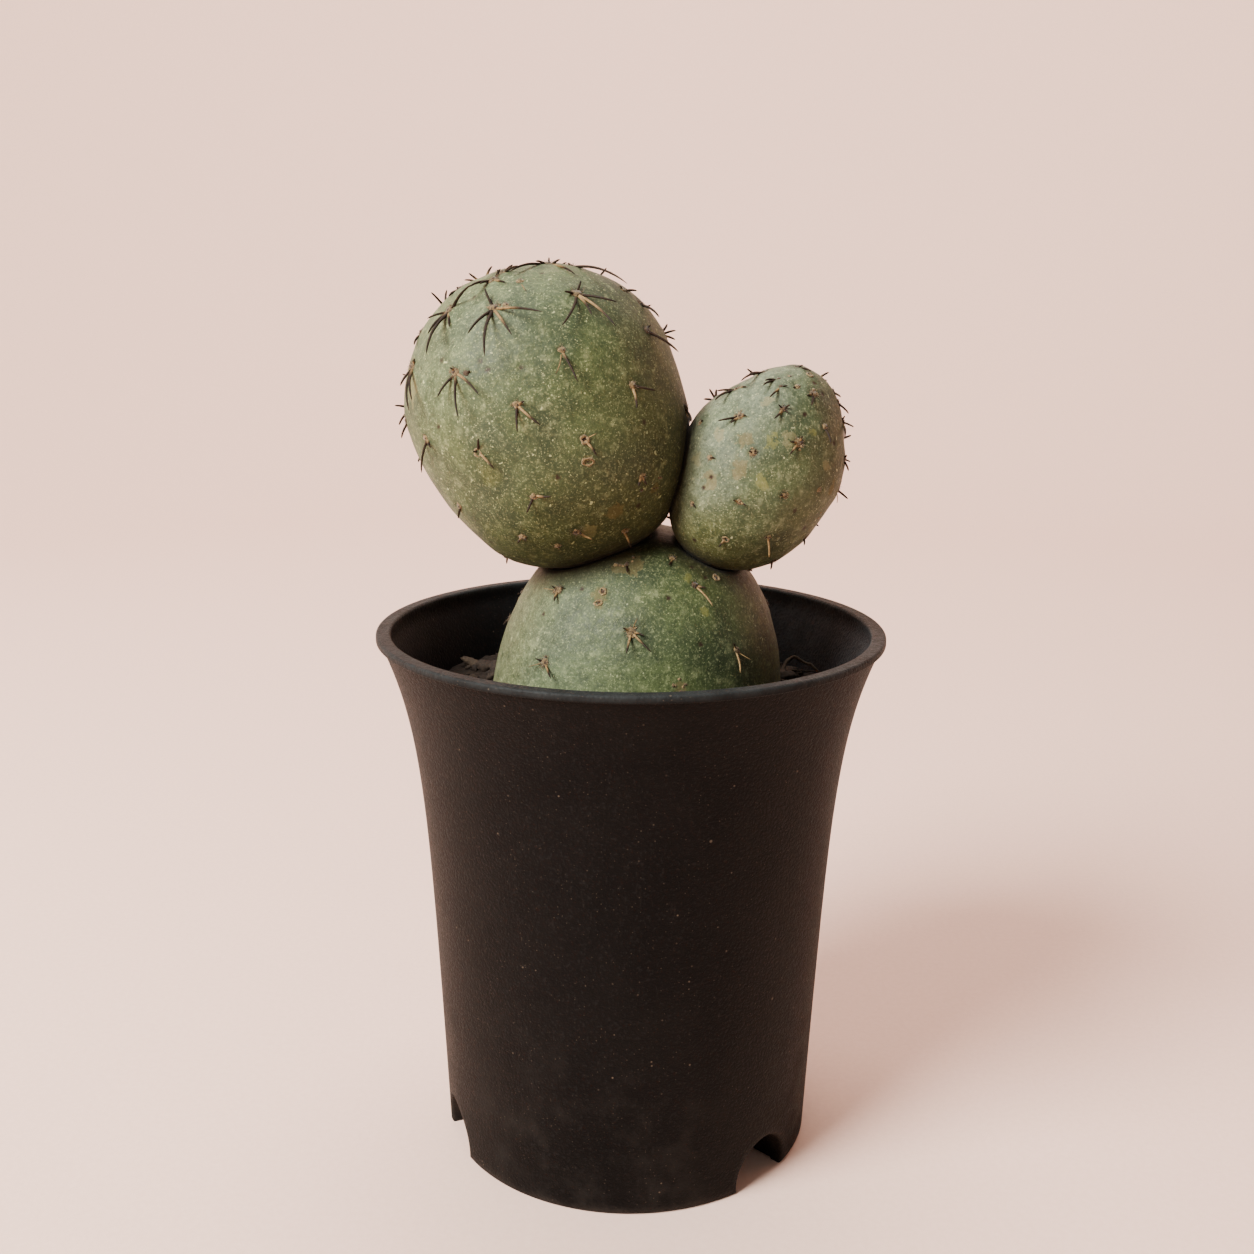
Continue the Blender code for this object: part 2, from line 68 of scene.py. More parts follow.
# ------------------------------------------------------------------ areoles
# (turn from the front towards +X, angle down from the tip, kind, spines). A spine is the place of
# its tip as it is seen from the front, (across, up) from its areole, and its tone: k near-black,
# b brown, t tan with a dark tip, p pale straw, f a faint hair.
SEEN = {
    "large_joint": (
        (0, 40, "tuft", ((-9, 20, "k"), (47, -3, "t"), (18, -26, "t"), (-8, -46, "k"), (-25, -25, "k"))),
        (7, 41, "wool", ()),
        (44, 49, "tuft", ((4, 13, "b"), (40, -8, "k"), (-14, -31, "b"), (15, -21, "t"), (38, -31, "t"), (-12, 2, "k"))),
        (-34, 30, "tuft", ((20, 25, "k"), (-22, -8, "b"), (-21, -23, "b"), (-22, -42, "k"), (1, -17, "t"))),
        (-26, 60, "tuft", ((-18, -25, "b"), (3, -45, "b"), (23, -22, "t"), (-6, 5, "t"))),
        (-21, 62, "dark", ((4, 3, "k"),)),
        (-63, 50, "tuft", ((-12, -19, "k"), (-3, -42, "b"), (0, -33, "b"), (5, 7, "t"))),
        (20, 68, "wool", ((16, -31, "b"), (-6, -24, "f"))),
        (-5, 79, "wool", ((24, -20, "t"), (1, -27, "b"), (8, 4, "t"))),
        (-28, 88, "ring", ((16, -16, "t"), (0, 14, "b"), (-5, 1, "b"))),
        (42, 88, "wool", ((23, -5, "b"), (4, -23, "t"))),
        (65, 74, "dark", ((32, -22, "k"), (4, 5, "b"))),
        (77, 56, "wool", ((14, -1, "k"), (-3, 3, "k"))),
        (80, 64, "dark", ((19, -14, "k"),)),
        (75, 24, "tuft", ((-37, -7, "k"), (0, 7, "k"), (11, 5, "k"), (25, -11, "t"), (-13, 3, "b"))),
        (86, 32, "dark", ((53, -16, "k"), (-3, 1, "k"))),
        (7, 20, "tuft", ((13, -5, "t"), (7, 11, "k"), (-13, -4, "k"), (-23, -7, "k"))),
        (22, 15, "tuft", ((11, 8, "k"), (-5, 3, "k"), (17, 7, "b"))),
        (24, 30, "wool", ((6, -12, "f"),)),
        (-66, 12, "dark", ((-3, 2, "k"), (-6, -13, "k"))),
        (14, 96, "ring", ((13, 7, "f"), (12, -16, "t"))),
        (12, 103, "scar", ()),
        (-15, 107, "wool", ((18, 0, "t"), (-7, -17, "b"))),
        (34, 116, "wool", ((5, -9, "t"), (-4, -10, "t"))),
        (41, 123, "scab", ()),
        (-7, 129, "tuft", ((6, -3, "t"), (17, -8, "p"))),
        (22, 140, "wool", ((7, -18, "t"),)),
        (-34, 121, "wool", ((-5, -7, "t"), (4, -4, "t"))),
        (-22, 132, "wool", ((2, -3, "t"),)),
        (-58, 102, "wool", ((-1, -13, "b"),)),
        (-54, 78, "wool", ((-4, -35, "b"), (5, -10, "t"))),
        (-77, 70, "dark", ((-5, -18, "b"),)),
        (78, 102, "dark", ((5, -14, "k"), (2, -17, "t"))),
        (-74, 130, "dark", ((1, -8, "b"),)),
        (-78, 34, "dark", ((-7, -13, "b"),)),
        (17, 126, "scab", ()),
    ),
    "small_joint": (
        (-82, 38, "dark", ((-23, -9, "k"), (-16, -3, "k"))),
        (-44, 38, "dark", ((-16, -6, "k"), (-14, -1, "k"))),
        (-38, 32, "wool", ()),
        (-34, 42, "dark", ((-11, -11, "t"), (7, 1, "b"))),
        (-19, 36, "wool", ((-4, -1, "b"),)),
        (-67, 17, "dark", ((6, 2, "k"), (14, -4, "b"))),
        (-18, 18, "ring", ()),
        (4, 34, "tuft", ((-2, -12, "k"), (-7, -2, "t"))),
        (79, 19, "dark", ((8, -6, "k"),)),
        (80, 27, "dark", ((11, -12, "k"),)),
        (-73, 58, "tuft", ((-20, -2, "k"), (-21, -11, "k"), (10, 2, "t"))),
        (-42, 70, "tuft", ((-22, -5, "k"), (-9, -7, "t"), (7, 1, "t"))),
        (-16, 54, "dark", ((-5, 4, "b"), (7, 4, "b"), (-9, -10, "t"), (5, -4, "b"))),
        (-70, 84, "wool", ((4, 2, "b"),)),
        (29, 50, "wool", ((6, -17, "k"),)),
        (9, 66, "tuft", ((4, 7, "t"), (-9, 1, "t"), (-9, -12, "t"))),
        (-42, 95, "wool", ((5, 0, "k"),)),
        (-16, 82, "tuft", ((-5, 2, "b"), (3, 3, "t"))),
        (80, 40, "dark", ((11, -6, "b"), (2, 5, "k"), (2, -16, "t"))),
        (74, 62, "dark", ((6, -3, "k"), (4, -12, "k"), (1, 4, "k"))),
        (80, 78, "dark", ((10, -10, "k"), (-1, -14, "f"))),
        (42, 82, "wool", ()),
        (18, 92, "tuft", ((-4, 0, "b"),)),
        (-7, 106, "wool", ((-6, 2, "t"), (7, -3, "t"))),
        (-40, 121, "wool", ((3, -4, "b"),)),
        (0, 129, "ring", ((-7, -8, "t"),)),
        (28, 115, "wool", ((1, -21, "p"), (-3, -1, "t"))),
        (70, 107, "dark", ((-1, -8, "k"),)),
        (65, 128, "dark", ((-3, -9, "k"),)),
        (73, 145, "dark", ((3, -1, "k"),)),
        (60, 92, "scab", ()),
        (15, 103, "scab", ()),
    ),
    "base_joint": (
        (-51, 58, "tuft", ((-4, -11, "t"), (6, 4, "t"), (-15, 2, "f"), (-7, 5, "t"))),
        (-26, 53, "ring", ()),
        (-26, 58, "ring", ()),
        (-20, 37, "scab", ((1, -9, "b"),)),
        (22, 44, "dark", ((18, -21, "p"), (12, -3, "t"))),
        (38, 40, "ring", ()),
        (-8, 66, "tuft", ((-5, -22, "t"), (20, -20, "t"), (6, 14, "f"), (-9, 4, "t"), (13, -4, "t"))),
        (-42, 81, "tuft", ((-10, 4, "b"), (6, -16, "t"), (-17, -5, "f"))),
        (40, 70, "wool", ((-3, 7, "t"), (4, -23, "p"), (16, -10, "f"))),
        (-92, 68, "dark", ((-5, -2, "b"),)),
        (-89, 77, "dark", ((-7, -7, "b"),)),
        (90, 58, "dark", ((2, -1, "b"),)),
        (10, 29, "wool", ((-4, -8, "t"),)),
        (14, 81, "scab", ()),
    ),
}
# dark specks in the skin, (turn, angle down from the tip)
SPECKS = {
    "large_joint": ((-34, 53), (-13, 60), (-11, 64), (2, 68), (-42, 76), (41, 99), (-2, 104),
                    (31, 128), (-12, 28), (44, 30), (-60, 120), (150, 60), (-140, 84), (110, 100)),
    "small_joint": ((-28, 142), (32, 96), (-34, 103), (-36, 110), (4, 50), (46, 56), (20, 29),
                    (53, 102), (0, 24), (140, 80), (-150, 60)),
    "base_joint": ((30, 40), (7, 51), (-53, 68), (-38, 54), (22, 68), (23, 34), (66, 72),
                   (120, 60), (-140, 70)),
}
# corky and yellowed places: (turn, angle down, radius in mm, kind)
STAINS = {
    "large_joint": ((17, 126, 1.8, "cork"), (41, 123, 1.0, "cork"), (12, 103, 0.9, "cork"),
                    (-60, 60, 2.4, "tan"), (0, 132, 2.0, "tan"), (-28, 95, 2.0, "lime"), (140, 90, 3.5, "cork")),
    "small_joint": ((-9, 72, 1.5, "yellow"), (-1, 91, 1.4, "yellow"), (-52, 100, 1.5, "tan"),
                    (-46, 83, 1.5, "tan"), (-27, 80, 1.8, "cork"), (2, 67, 1.7, "tan"),
                    (-18, 92, 1.7, "cork"), (-34, 104, 1.7, "cork"), (17, 57, 0.9, "yellow"),
                    (-32, 55, 1.4, "tan"), (150, 80, 2.2, "cork"), (-130, 70, 1.8, "tan"),
                    (40, 70, 1.3, "tan"), (58, 78, 1.4, "cork")),
    "base_joint": ((-20, 37, 3.2, "cork"), (18, 41, 1.1, "yellow"), (-26, 55, 2.0, "cork"),
                   (25, 56, 1.2, "yellow"), (160, 50, 3.0, "cork"), (14, 81, 1.2, "cork")),
}
# clusters on the side away from the front: (turn, angle down, spines, length in mm)
BEHIND = {
    "large_joint": ((-95, 66, 3, 5.0), (120, 46, 4, 5.0), (168, 30, 3, 4.2), (-150, 52, 4, 6.0),
                    (158, 74, 3, 5.0), (-118, 92, 3, 5.0), (-165, 98, 2, 4.0)),
    "small_joint": ((135, 40, 3, 3.6), (-135, 46, 3, 3.6), (172, 66, 3, 3.4), (120, 82, 3, 3.2)),
    "base_joint": ((128, 58, 3, 3.8), (-130, 62, 3, 3.8), (175, 52, 3, 3.8)),
}
VIEWER = np.array((0.0, -243.9, 154.85))  # where the object is seen from, in millimetres
VIEW_PITCH = math.radians(13.65)
VIEW_FOCAL = 1403.0  # the unit of a spine's (across, up) is the viewing distance over this


# ------------------------------------------------------------------ small numeric helpers
def smoothstep(low, high, value):
    t = np.clip((value - low) / (high - low), 0.0, 1.0)
    return t * t * (3 - 2 * t)


def lattice(ix, iy, iz, seed):
    """A value in -1..1 for each corner of a lattice."""
    h = (ix.astype(np.uint32) * np.uint32(374761393)) ^ (iy.astype(np.uint32) * np.uint32(668265263))
    h ^= (iz.astype(np.uint32) * np.uint32(2246822519)) ^ np.uint32((seed * 3266489917) & 0xFFFFFFFF)
    h = (h ^ (h >> np.uint32(15))) * np.uint32(2246822519)
    h = (h ^ (h >> np.uint32(13))) * np.uint32(3266489917)
    h ^= h >> np.uint32(16)
    return h.astype(np.float64) / 2147483647.5 - 1.0


def lumps(points, size, seed, octaves=1):
    """Smooth value noise in -1..1 with lumps of about the given size."""
    total, weight, reach = 0.0, 1.0, 0.0
    for octave in range(octaves):
        q = points / size * (2.0 ** octave) + 17.3 * octave
        i = np.floor(q).astype(np.int64)
        f = q - i
        f = f * f * f * (f * (f * 6 - 15) + 10)
        x, y, z = i[:, 0], i[:, 1], i[:, 2]
        value = 0.0
        for dx in (0, 1):
            for dy in (0, 1):
                for dz in (0, 1):
                    w = ((f[:, 0] if dx else 1 - f[:, 0]) * (f[:, 1] if dy else 1 - f[:, 1])
                         * (f[:, 2] if dz else 1 - f[:, 2]))
                    value = value + w * lattice(x + dx, y + dy, z + dz, seed + 101 * octave)
        total = total + weight * value
        reach += weight
        weight *= 0.5
    return total / reach


def unit(v):
    return v / np.maximum(np.linalg.norm(v, axis=-1, keepdims=True), 1e-12)


# ------------------------------------------------------------------ joint shapes
def swell(form, x, y, z):
    """How much the outline departs from the plain egg, at local points."""
    angle = np.arctan2(x, z)
    share = (x * x + z * z) / np.maximum(x * x + y * y + z * z, 1e-9)
    total = 0.0
    for order, cosine, sine in form["swells"]:
        total = total + cosine * np.cos(order * angle) + sine * np.sin(order * angle)
    return 1.0 + share * total


def joint_surface(form, polar, turn):
    """Local points of the skin, in millimetres."""
    c = np.cos(polar)
    s = np.sqrt(np.maximum(1.0 - c * c, 0.0))
    reach = np.where(c >= 0, form["up"], form["down"])
    taper = np.where(c >= 0, form["taper"], form["taper_low"])
    z = reach * np.sign(c) * np.abs(c) ** form["square"]
    radius = form["half_width"] * s ** form["square"] * (1 + taper * c + form["ends"] * c * c)
    x, y = radius * np.sin(turn), -radius * form["depth"] * np.cos(turn)
    return np.stack([x, y, z], -1) * swell(form, x, y, z)[..., None]


def lean_matrix(form):
    a = math.radians(form["lean"])
    return np.array(((math.cos(a), 0, math.sin(a)), (0, 1, 0), (-math.sin(a), 0, math.cos(a))))


def to_world(form, points):
    return points @ lean_matrix(form).T + np.array(form["centre"])


def to_local(form, points):
    return (points - np.array(form["centre"])) @ lean_matrix(form)


def skin_place(name, turn, polar):
    """World point and outward normal on a joint's skin, from angles in degrees."""
    form = JOINTS[name]
    t, p, step = math.radians(turn), math.radians(max(polar, 1.0)), 1e-3
    here = joint_surface(form, np.array([p, p + step, p - step, p, p]),
                         np.array([t, t, t, t + step, t - step]))
    world = to_world(form, here)
    normal = unit(np.cross(world[1] - world[2], world[3] - world[4]))
    return world[0], normal


def egg_table(form):
    polar = np.linspace(1e-5, math.pi - 1e-5, 1441)
    c, s = np.cos(polar), np.sin(polar)
    reach = np.where(c >= 0, form["up"], form["down"])
    taper = np.where(c >= 0, form["taper"], form["taper_low"])
    z = reach * np.sign(c) * np.abs(c) ** form["square"]
    radius = form["half_width"] * s ** form["square"] * (1 + taper * c + form["ends"] * c * c)
    return np.arctan2(radius, z), np.hypot(radius, z)


def outside(form, points):
    """Distance out of a joint's skin at world points, and the direction straight out of it."""
    local = to_local(form, points)
    flat = local / np.array((1.0, form["depth"], 1.0))
    angles, reaches = egg_table(form)
    reach = np.interp(np.arctan2(np.hypot(flat[:, 0], flat[:, 1]), flat[:, 2]), angles, reaches)
    reach = reach * swell(form, local[:, 0], local[:, 1], local[:, 2])
    return np.linalg.norm(flat, axis=1) - reach, unit(local @ lean_matrix(form).T)


def press(points, form, gap, soft):
    """Moves points out of a neighbouring joint, with a rounded edge to the dent it leaves."""
    distance, out = outside(form, points)
    t = distance - gap
    moved = 0.5 * (t + np.sqrt(t * t + soft * soft)) - t
    moved = np.where(distance > 4.0, 0.0, moved * smoothstep(4.0, 2.0, distance))
    return points + out * moved[:, None], distance


# ------------------------------------------------------------------ making meshes
def piece(name, points, faces, materials, attributes=None, slots=None, smooth=True):
    """An object from points in millimetres, which rides on the root."""
    mesh = bpy.data.meshes.new(name)
    mesh.from_pydata((np.asarray(points) * MM).tolist(), [], [list(f) for f in faces])
    for material in materials:
        mesh.materials.append(material)
    for key, values in (attributes or {}).items():
        layer = mesh.attributes.new(key, "FLOAT", "POINT")
        layer.data.foreach_set("value", np.asarray(values, np.float32))
    if slots is not None:
        mesh.polygons.foreach_set("material_index", np.asarray(slots, np.int32))
    mesh.polygons.foreach_set("use_smooth", [smooth] * len(mesh.polygons))
    mesh.update()
    made = bpy.data.objects.new(name, mesh)
    bpy.context.scene.collection.objects.link(made)
    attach(made, "root")
    return made


def globe(level):
    """Points of a unit ball and its triangles."""
    bm = bmesh.new()
    bmesh.ops.create_icosphere(bm, subdivisions=level, radius=1.0)
    points = np.array([v.co[:] for v in bm.verts])
    faces = np.array([[v.index for v in f.verts] for f in bm.faces])
    bm.free()
    return points, faces


def point_normals(points, faces):
    a, b, c = (points[faces[:, i]] for i in range(3))
    face = np.cross(b - a, c - a)
    total = np.zeros_like(points)
    for i in range(3):
        np.add.at(total, faces[:, i], face)
    return unit(total)


class Soup:
    """Gathers small closed shapes into one mesh, with a tone and a place along each."""

    def __init__(self):
        self.points, self.faces, self.tone, self.along, self.slot = [], [], [], [], []
        self.count = 0

    def add(self, points, faces, tone, along, slot):
        self.points.append(points)
        self.faces.extend([[i + self.count for i in f] for f in faces])
        self.slot.extend([slot] * len(faces))
        self.tone.append(np.full(len(points), tone) if np.isscalar(tone) else tone)
        self.along.append(np.full(len(points), along) if np.isscalar(along) else along)
        self.count += len(points)

    def make(self, name, materials):
        return piece(name, np.concatenate(self.points), self.faces, materials,
                     {"tone": np.concatenate(self.tone), "along": np.concatenate(self.along)},
                     self.slot)


def taper_tube(soup, path, radii, sides, tone, slot, flat=1.0):
    """A closed tube along a path of points, with a radius at each."""
    path = np.asarray(path)
    count = len(path)
    along = np.gradient(path, axis=0)
    along = unit(along)
    guide = np.array((0.31, 0.17, 0.93))
    if abs(along[0] @ guide) > 0.9:
        guide = np.array((0.9, -0.4, 0.1))
    side = unit(np.cross(along, guide))
    over = np.cross(along, side)
    turn = np.linspace(0, 2 * math.pi, sides, endpoint=False)
    rings = (path[:, None, :] + radii[:, None, None] * (
        np.cos(turn)[None, :, None] * side[:, None, :] + flat * np.sin(turn)[None, :, None] * over[:, None, :]))
    points = np.concatenate([rings.reshape(-1, 3), path[:1], path[-1:] + along[-1:] * radii[-1]])
    faces = []
    for i in range(count - 1):
        for j in range(sides):
            k = (j + 1) % sides
            faces.append((i * sides + j, i * sides + k, (i + 1) * sides + k, (i + 1) * sides + j))
    first, last = count * sides, count * sides + 1
    for j in range(sides):
        k = (j + 1) % sides
        faces.append((first, k, j))
        faces.append((last, (count - 1) * sides + j, (count - 1) * sides + k))
    share = np.linspace(0, 1, count)
    place = np.concatenate([np.repeat(share, sides), [0.0, 1.0]])
    soup.add(points, faces, tone, place, slot)


# ------------------------------------------------------------------ material helpers
def new_material(name):
    made = bpy.data.materials.new(name)
    made.use_nodes = True
    return made, made.node_tree, made.node_tree.nodes["Principled BSDF"]


def node(tree, kind, inputs=(), **settings):
    made = tree.nodes.new(kind)
    for key, value in settings.items():
        setattr(made, key, value)
    for key, value in dict(inputs).items():
        socket = made.inputs[key]
        if isinstance(value, bpy.types.NodeSocket):
            tree.links.new(value, socket)
        else:
            socket.default_value = value
    return made


def rgb(colour):
    return (*colour, 1.0)


def mix(tree, factor, a, b, blend="MIX"):
    made = node(tree, "ShaderNodeMix", data_type="RGBA", blend_type=blend, clamp_factor=True)
    for index, value in ((0, factor), (6, a), (7, b)):
        socket = made.inputs[index]
        if isinstance(value, bpy.types.NodeSocket):
            tree.links.new(value, socket)
        else:
            socket.default_value = value if index == 0 else rgb(value)
    return made.outputs[2]


def calc(tree, operation, a, b=0.0, clamp=False):
    return node(tree, "ShaderNodeMath", {0: a, 1: b}, operation=operation, use_clamp=clamp).outputs[0]


def span(tree, value, low, high, to_low=0.0, to_high=1.0, smooth=True):
    return node(tree, "ShaderNodeMapRange",
                {"Value": value, "From Min": low, "From Max": high, "To Min": to_low, "To Max": to_high},
                interpolation_type="SMOOTHSTEP" if smooth else "LINEAR").outputs["Result"]


def place(tree):
    return node(tree, "ShaderNodeTexCoord").outputs["Object"]


def cloud(tree, where, size, detail=2.0, roughness=0.5, distortion=0.0):
    """Noise whose features measure about size millimetres."""
    return node(tree, "ShaderNodeTexNoise",
                {"Vector": where, "Scale": 1000.0 / size, "Detail": detail, "Roughness": roughness,
                 "Distortion": distortion}).outputs["Fac"]


def cells(tree, where, size, feature="F1"):
    return node(tree, "ShaderNodeTexVoronoi", {"Vector": where, "Scale": 1000.0 / size},
                feature=feature)


def painted(tree, name):
    return node(tree, "ShaderNodeAttribute", attribute_name=name).outputs["Fac"]


def dots(tree, where, size, radius, chance):
    """Round spots, one in some of the cells: size and radius in millimetres."""
    grid = cells(tree, where, size)
    spot = span(tree, grid.outputs["Distance"], radius / size, 0.6 * radius / size)
    pick = node(tree, "ShaderNodeSeparateColor", {0: grid.outputs["Color"]})
    return calc(tree, "MULTIPLY", spot, span(tree, pick.outputs[0], 1 - chance, 1 - chance + 0.04))


def strokes(tree, where, size, radius, chance, turn, long):
    """Short thin marks: round spots drawn out along one direction."""
    turned_to = node(tree, "ShaderNodeMapping", {"Vector": where, "Rotation": turn}).outputs[0]
    pulled = node(tree, "ShaderNodeMapping", {"Vector": turned_to, "Scale": (1.0, 1.0 / long, 1.0)}).outputs[0]
    return dots(tree, pulled, size, radius, chance)


def bump(tree, height, distance, strength, under=None):
    inputs = {"Height": height, "Distance": distance * MM, "Strength": strength}
    if under is not None:
        inputs["Normal"] = under
    return node(tree, "ShaderNodeBump", inputs).outputs["Normal"]


def set_constants(shader, **values):
    for key, value in values.items():
        shader.inputs[key.replace("_", " ")].default_value = value


# ------------------------------------------------------------------ skin
PALETTE = dict(
    deep=(0.017, 0.026, 0.010), mid=(0.051, 0.066, 0.025), olive_and_shade=(0.025, 0.025, 0.0025),
    lime=(0.068, 0.068, 0.008), bloom_and_highlight=(0.153, 0.176, 0.140), speck=(0.40, 0.40, 0.27),
    brown=(0.020, 0.008, 0.003), tan=(0.170, 0.145, 0.080), yellow=(0.140, 0.132, 0.040),
    # of the colours on the next line, the warm brown stands in for bounced light and the near-black for shade in the
    # creases
    cork=(0.115, 0.082, 0.038), warm_bounce=(0.100, 0.080, 0.044), shade_black=(0.012, 0.008, 0.003))


TINTS = {"large_joint": (1.01, 1.06, 0.74), "small_joint": (1.03, 1.05, 0.84), "base_joint": (0.94, 1.0, 0.73)}


def skin_material(joint, seed):
    made, tree, shader = new_material(joint + "_flesh")
    SKIN = {key: tuple(c * t for c, t in zip(value, TINTS[joint])) for key, value in PALETTE.items()}
    shifted = node(tree, "ShaderNodeVectorMath", {0: place(tree), 1: (0.13 * seed, 0.07 * seed, 0.11 * seed)},
                   operation="ADD").outputs[0]
    broad = cloud(tree, shifted, 9.0, 3.0, 0.55)
    patch = cloud(tree, shifted, 3.2, 4.0, 0.6)
    fine = cloud(tree, shifted, 0.9, 4.0, 0.65)
    grain = cloud(tree, shifted, 0.28, 2.0, 0.6)
    colour = mix(tree, span(tree, broad, 0.32, 0.68), SKIN["deep"], SKIN["mid"])
    # darker olive: partly the skin's own olive tone, partly painted shade on the side away from the key lamp and close
    # to where the joints touch
    olive_and_shade = calc(tree, "MULTIPLY", painted(tree, "olive_and_shade"), span(tree, patch, 0.2, 0.75, 0.6, 1.0))
    colour = mix(tree, olive_and_shade, colour, SKIN["olive_and_shade"])
    lime = calc(tree, "MULTIPLY", painted(tree, "lime"), span(tree, patch, 0.3, 0.7, 0.5, 1.0))
    colour = mix(tree, lime, colour, SKIN["lime"])
    # the waxy bloom lies in a mottled film, thin where the skin has been rubbed; it is laid heavier where the skin
    # faces the key lamp, so it is partly a painted highlight
    film = calc(tree, "MULTIPLY", painted(tree, "bloom_and_highlight"), span(tree, patch, 0.25, 0.72, 0.55, 1.0))
    film = calc(tree, "MULTIPLY", film, span(tree, fine, 0.25, 0.7, 0.72, 1.0))
    colour = mix(tree, film, colour, SKIN["bloom_and_highlight"])
    # painted bounce light: a warmer brown on the side facing +X, standing in for light bounced from the warm floor
    colour = mix(tree, calc(tree, "MULTIPLY", painted(tree, "warm_bounce"), span(tree, patch, 0.3, 0.7, 0.6, 1.0)),
                 colour, SKIN["warm_bounce"])
    # blotches of darker and paler skin
    colour = mix(tree, span(tree, fine, 0.56, 0.78, 0.0, 0.36), colour, SKIN["speck"])
    colour = mix(tree, span(tree, fine, 0.45, 0.24, 0.0, 0.70), colour, SKIN["deep"])
    middle = cloud(tree, shifted, 1.9, 3.0, 0.6)
    colour = mix(tree, span(tree, middle, 0.50, 0.30, 0.0, 0.55), colour, SKIN["deep"])
    colour = mix(tree, span(tree, middle, 0.54, 0.74, 0.0, 0.22), colour, SKIN["speck"])
    tooth = cloud(tree, shifted, 0.42, 3.0, 0.7)
    colour = mix(tree, span(tree, tooth, 0.50, 0.30, 0.0, 0.55), colour, SKIN["deep"])
    colour = mix(tree, span(tree, tooth, 0.52, 0.72, 0.0, 0.26), colour, SKIN["speck"])
    # dense pale flecks, larger scattered ones, and thin curved scratches in the wax
    sway = node(tree, "ShaderNodeTexNoise", {"Vector": shifted, "Scale": 780.0, "Detail": 1.0}).outputs["Color"]
    sway = node(tree, "ShaderNodeVectorMath", {0: sway, 1: (0.5, 0.5, 0.5)}, operation="SUBTRACT").outputs[0]
    sway = node(tree, "ShaderNodeVectorMath", {0: sway, "Scale": 0.0016}, operation="SCALE").outputs[0]
    bent = node(tree, "ShaderNodeVectorMath", {0: shifted, 1: sway}, operation="ADD").outputs[0]
    small = dots(tree, shifted, 0.50, 0.125, 0.50)
    medium = dots(tree, bent, 1.35, 0.20, 0.50)
    large = dots(tree, bent, 3.4, 0.33, 0.30)
    marks = strokes(tree, bent, 0.52, 0.090, 0.55, (0.3, 0.0, 0.5), 7.0)
    for turn in ((1.2, 0.4, 0.0), (0.2, 0.3, 2.3), (0.9, 1.1, 1.2)):
        marks = calc(tree, "MAXIMUM", marks, strokes(tree, bent, 0.58, 0.085, 0.50, turn, 7.0))
    marks = calc(tree, "MULTIPLY", marks, span(tree, cloud(tree, shifted, 2.6, 2.0), 0.36, 0.60, 0.25, 1.0))
    pale = calc(tree, "MAXIMUM", calc(tree, "MULTIPLY", small, 0.38), calc(tree, "MULTIPLY", medium, 0.70))
    pale = calc(tree, "MAXIMUM", pale, calc(tree, "MULTIPLY", large, 0.90))
    pale = calc(tree, "MAXIMUM", pale, calc(tree, "MULTIPLY", marks, 0.70))
    pale = calc(tree, "MULTIPLY", pale, 0.64 if joint == "base_joint" else 0.95)
    colour = mix(tree, pale, colour, SKIN["speck"])
    pores = dots(tree, shifted, 5.5, 0.26, 0.40)
    colour = mix(tree, calc(tree, "MULTIPLY", pores, 0.9), colour, SKIN["brown"])
    # corky, tan and yellowed places
    for key, tint, low, high in (("tan", "tan", 0.52, 0.76), ("yellow", "yellow", 0.55, 0.78), ("cork", "cork", 0.46, 0.70)):
        ragged = calc(tree, "ADD", painted(tree, key), calc(tree, "MULTIPLY", calc(tree, "SUBTRACT", calc(tree, "ADD", fine, middle), 1.0), 2.0))
        cover = calc(tree, "MULTIPLY", span(tree, ragged, low, high), span(tree, painted(tree, key), 0.02, 0.25))
        colour = mix(tree, calc(tree, "MULTIPLY", cover, 0.55), colour, SKIN[tint])
    colour = mix(tree, painted(tree, "speck"), colour, SKIN["brown"])
    # painted shade: darker skin in a ring round each areole
    painted_areole_shade = calc(tree, "MULTIPLY", painted(tree, "painted_areole_shade"), span(tree, fine, 0.3, 0.65, 0.35, 1.0))
    colour = mix(tree, calc(tree, "MULTIPLY", painted_areole_shade, 0.80), colour, SKIN["deep"])
    # painted shade: near-black in the creases where the joints touch, fading out over a few millimetres; the same
    # colour also darkens the base joint low down, near the soil
    colour = mix(tree, painted(tree, "painted_crease_shade"), colour, SKIN["shade_black"])
    tree.links.new(colour, shader.inputs["Base Color"])
    rough = span(tree, fine, 0.2, 0.8, 0.52, 0.74)
    rough = calc(tree, "ADD", rough, calc(tree, "MULTIPLY", painted(tree, "cork"), 0.2), clamp=True)
    tree.links.new(rough, shader.inputs["Roughness"])
    rough = calc(tree, "MAXIMUM", rough, painted(tree, "painted_crease_shade"))
    tree.links.new(rough, shader.inputs["Roughness"])
    first = bump(tree, patch, 0.30, 0.45)
    second = bump(tree, fine, 0.16, 0.60, first)
    third = bump(tree, calc(tree, "ADD", grain, calc(tree, "MULTIPLY", pale, 0.9)), 0.05, 0.8, second)
    fourth = bump(tree, calc(tree, "SUBTRACT", 1.0, pores), 0.12, 0.8, third)
    tree.links.new(fourth, shader.inputs["Normal"])
    set_constants(shader, Subsurface_Weight=0.06, Subsurface_Scale=0.0015,
                  Sheen_Weight=0.02, Sheen_Roughness=0.45, Specular_IOR_Level=0.30)
    shader.inputs["Subsurface Radius"].default_value = (0.9, 1.0, 0.35)
    shader.inputs["Sheen Tint"].default_value = (0.9, 0.95, 0.9, 1.0)
    return made


def areole_places(name):
    return [skin_place(name, turn, polar) for turn, polar, _, _ in ALL_AREOLES[name]]


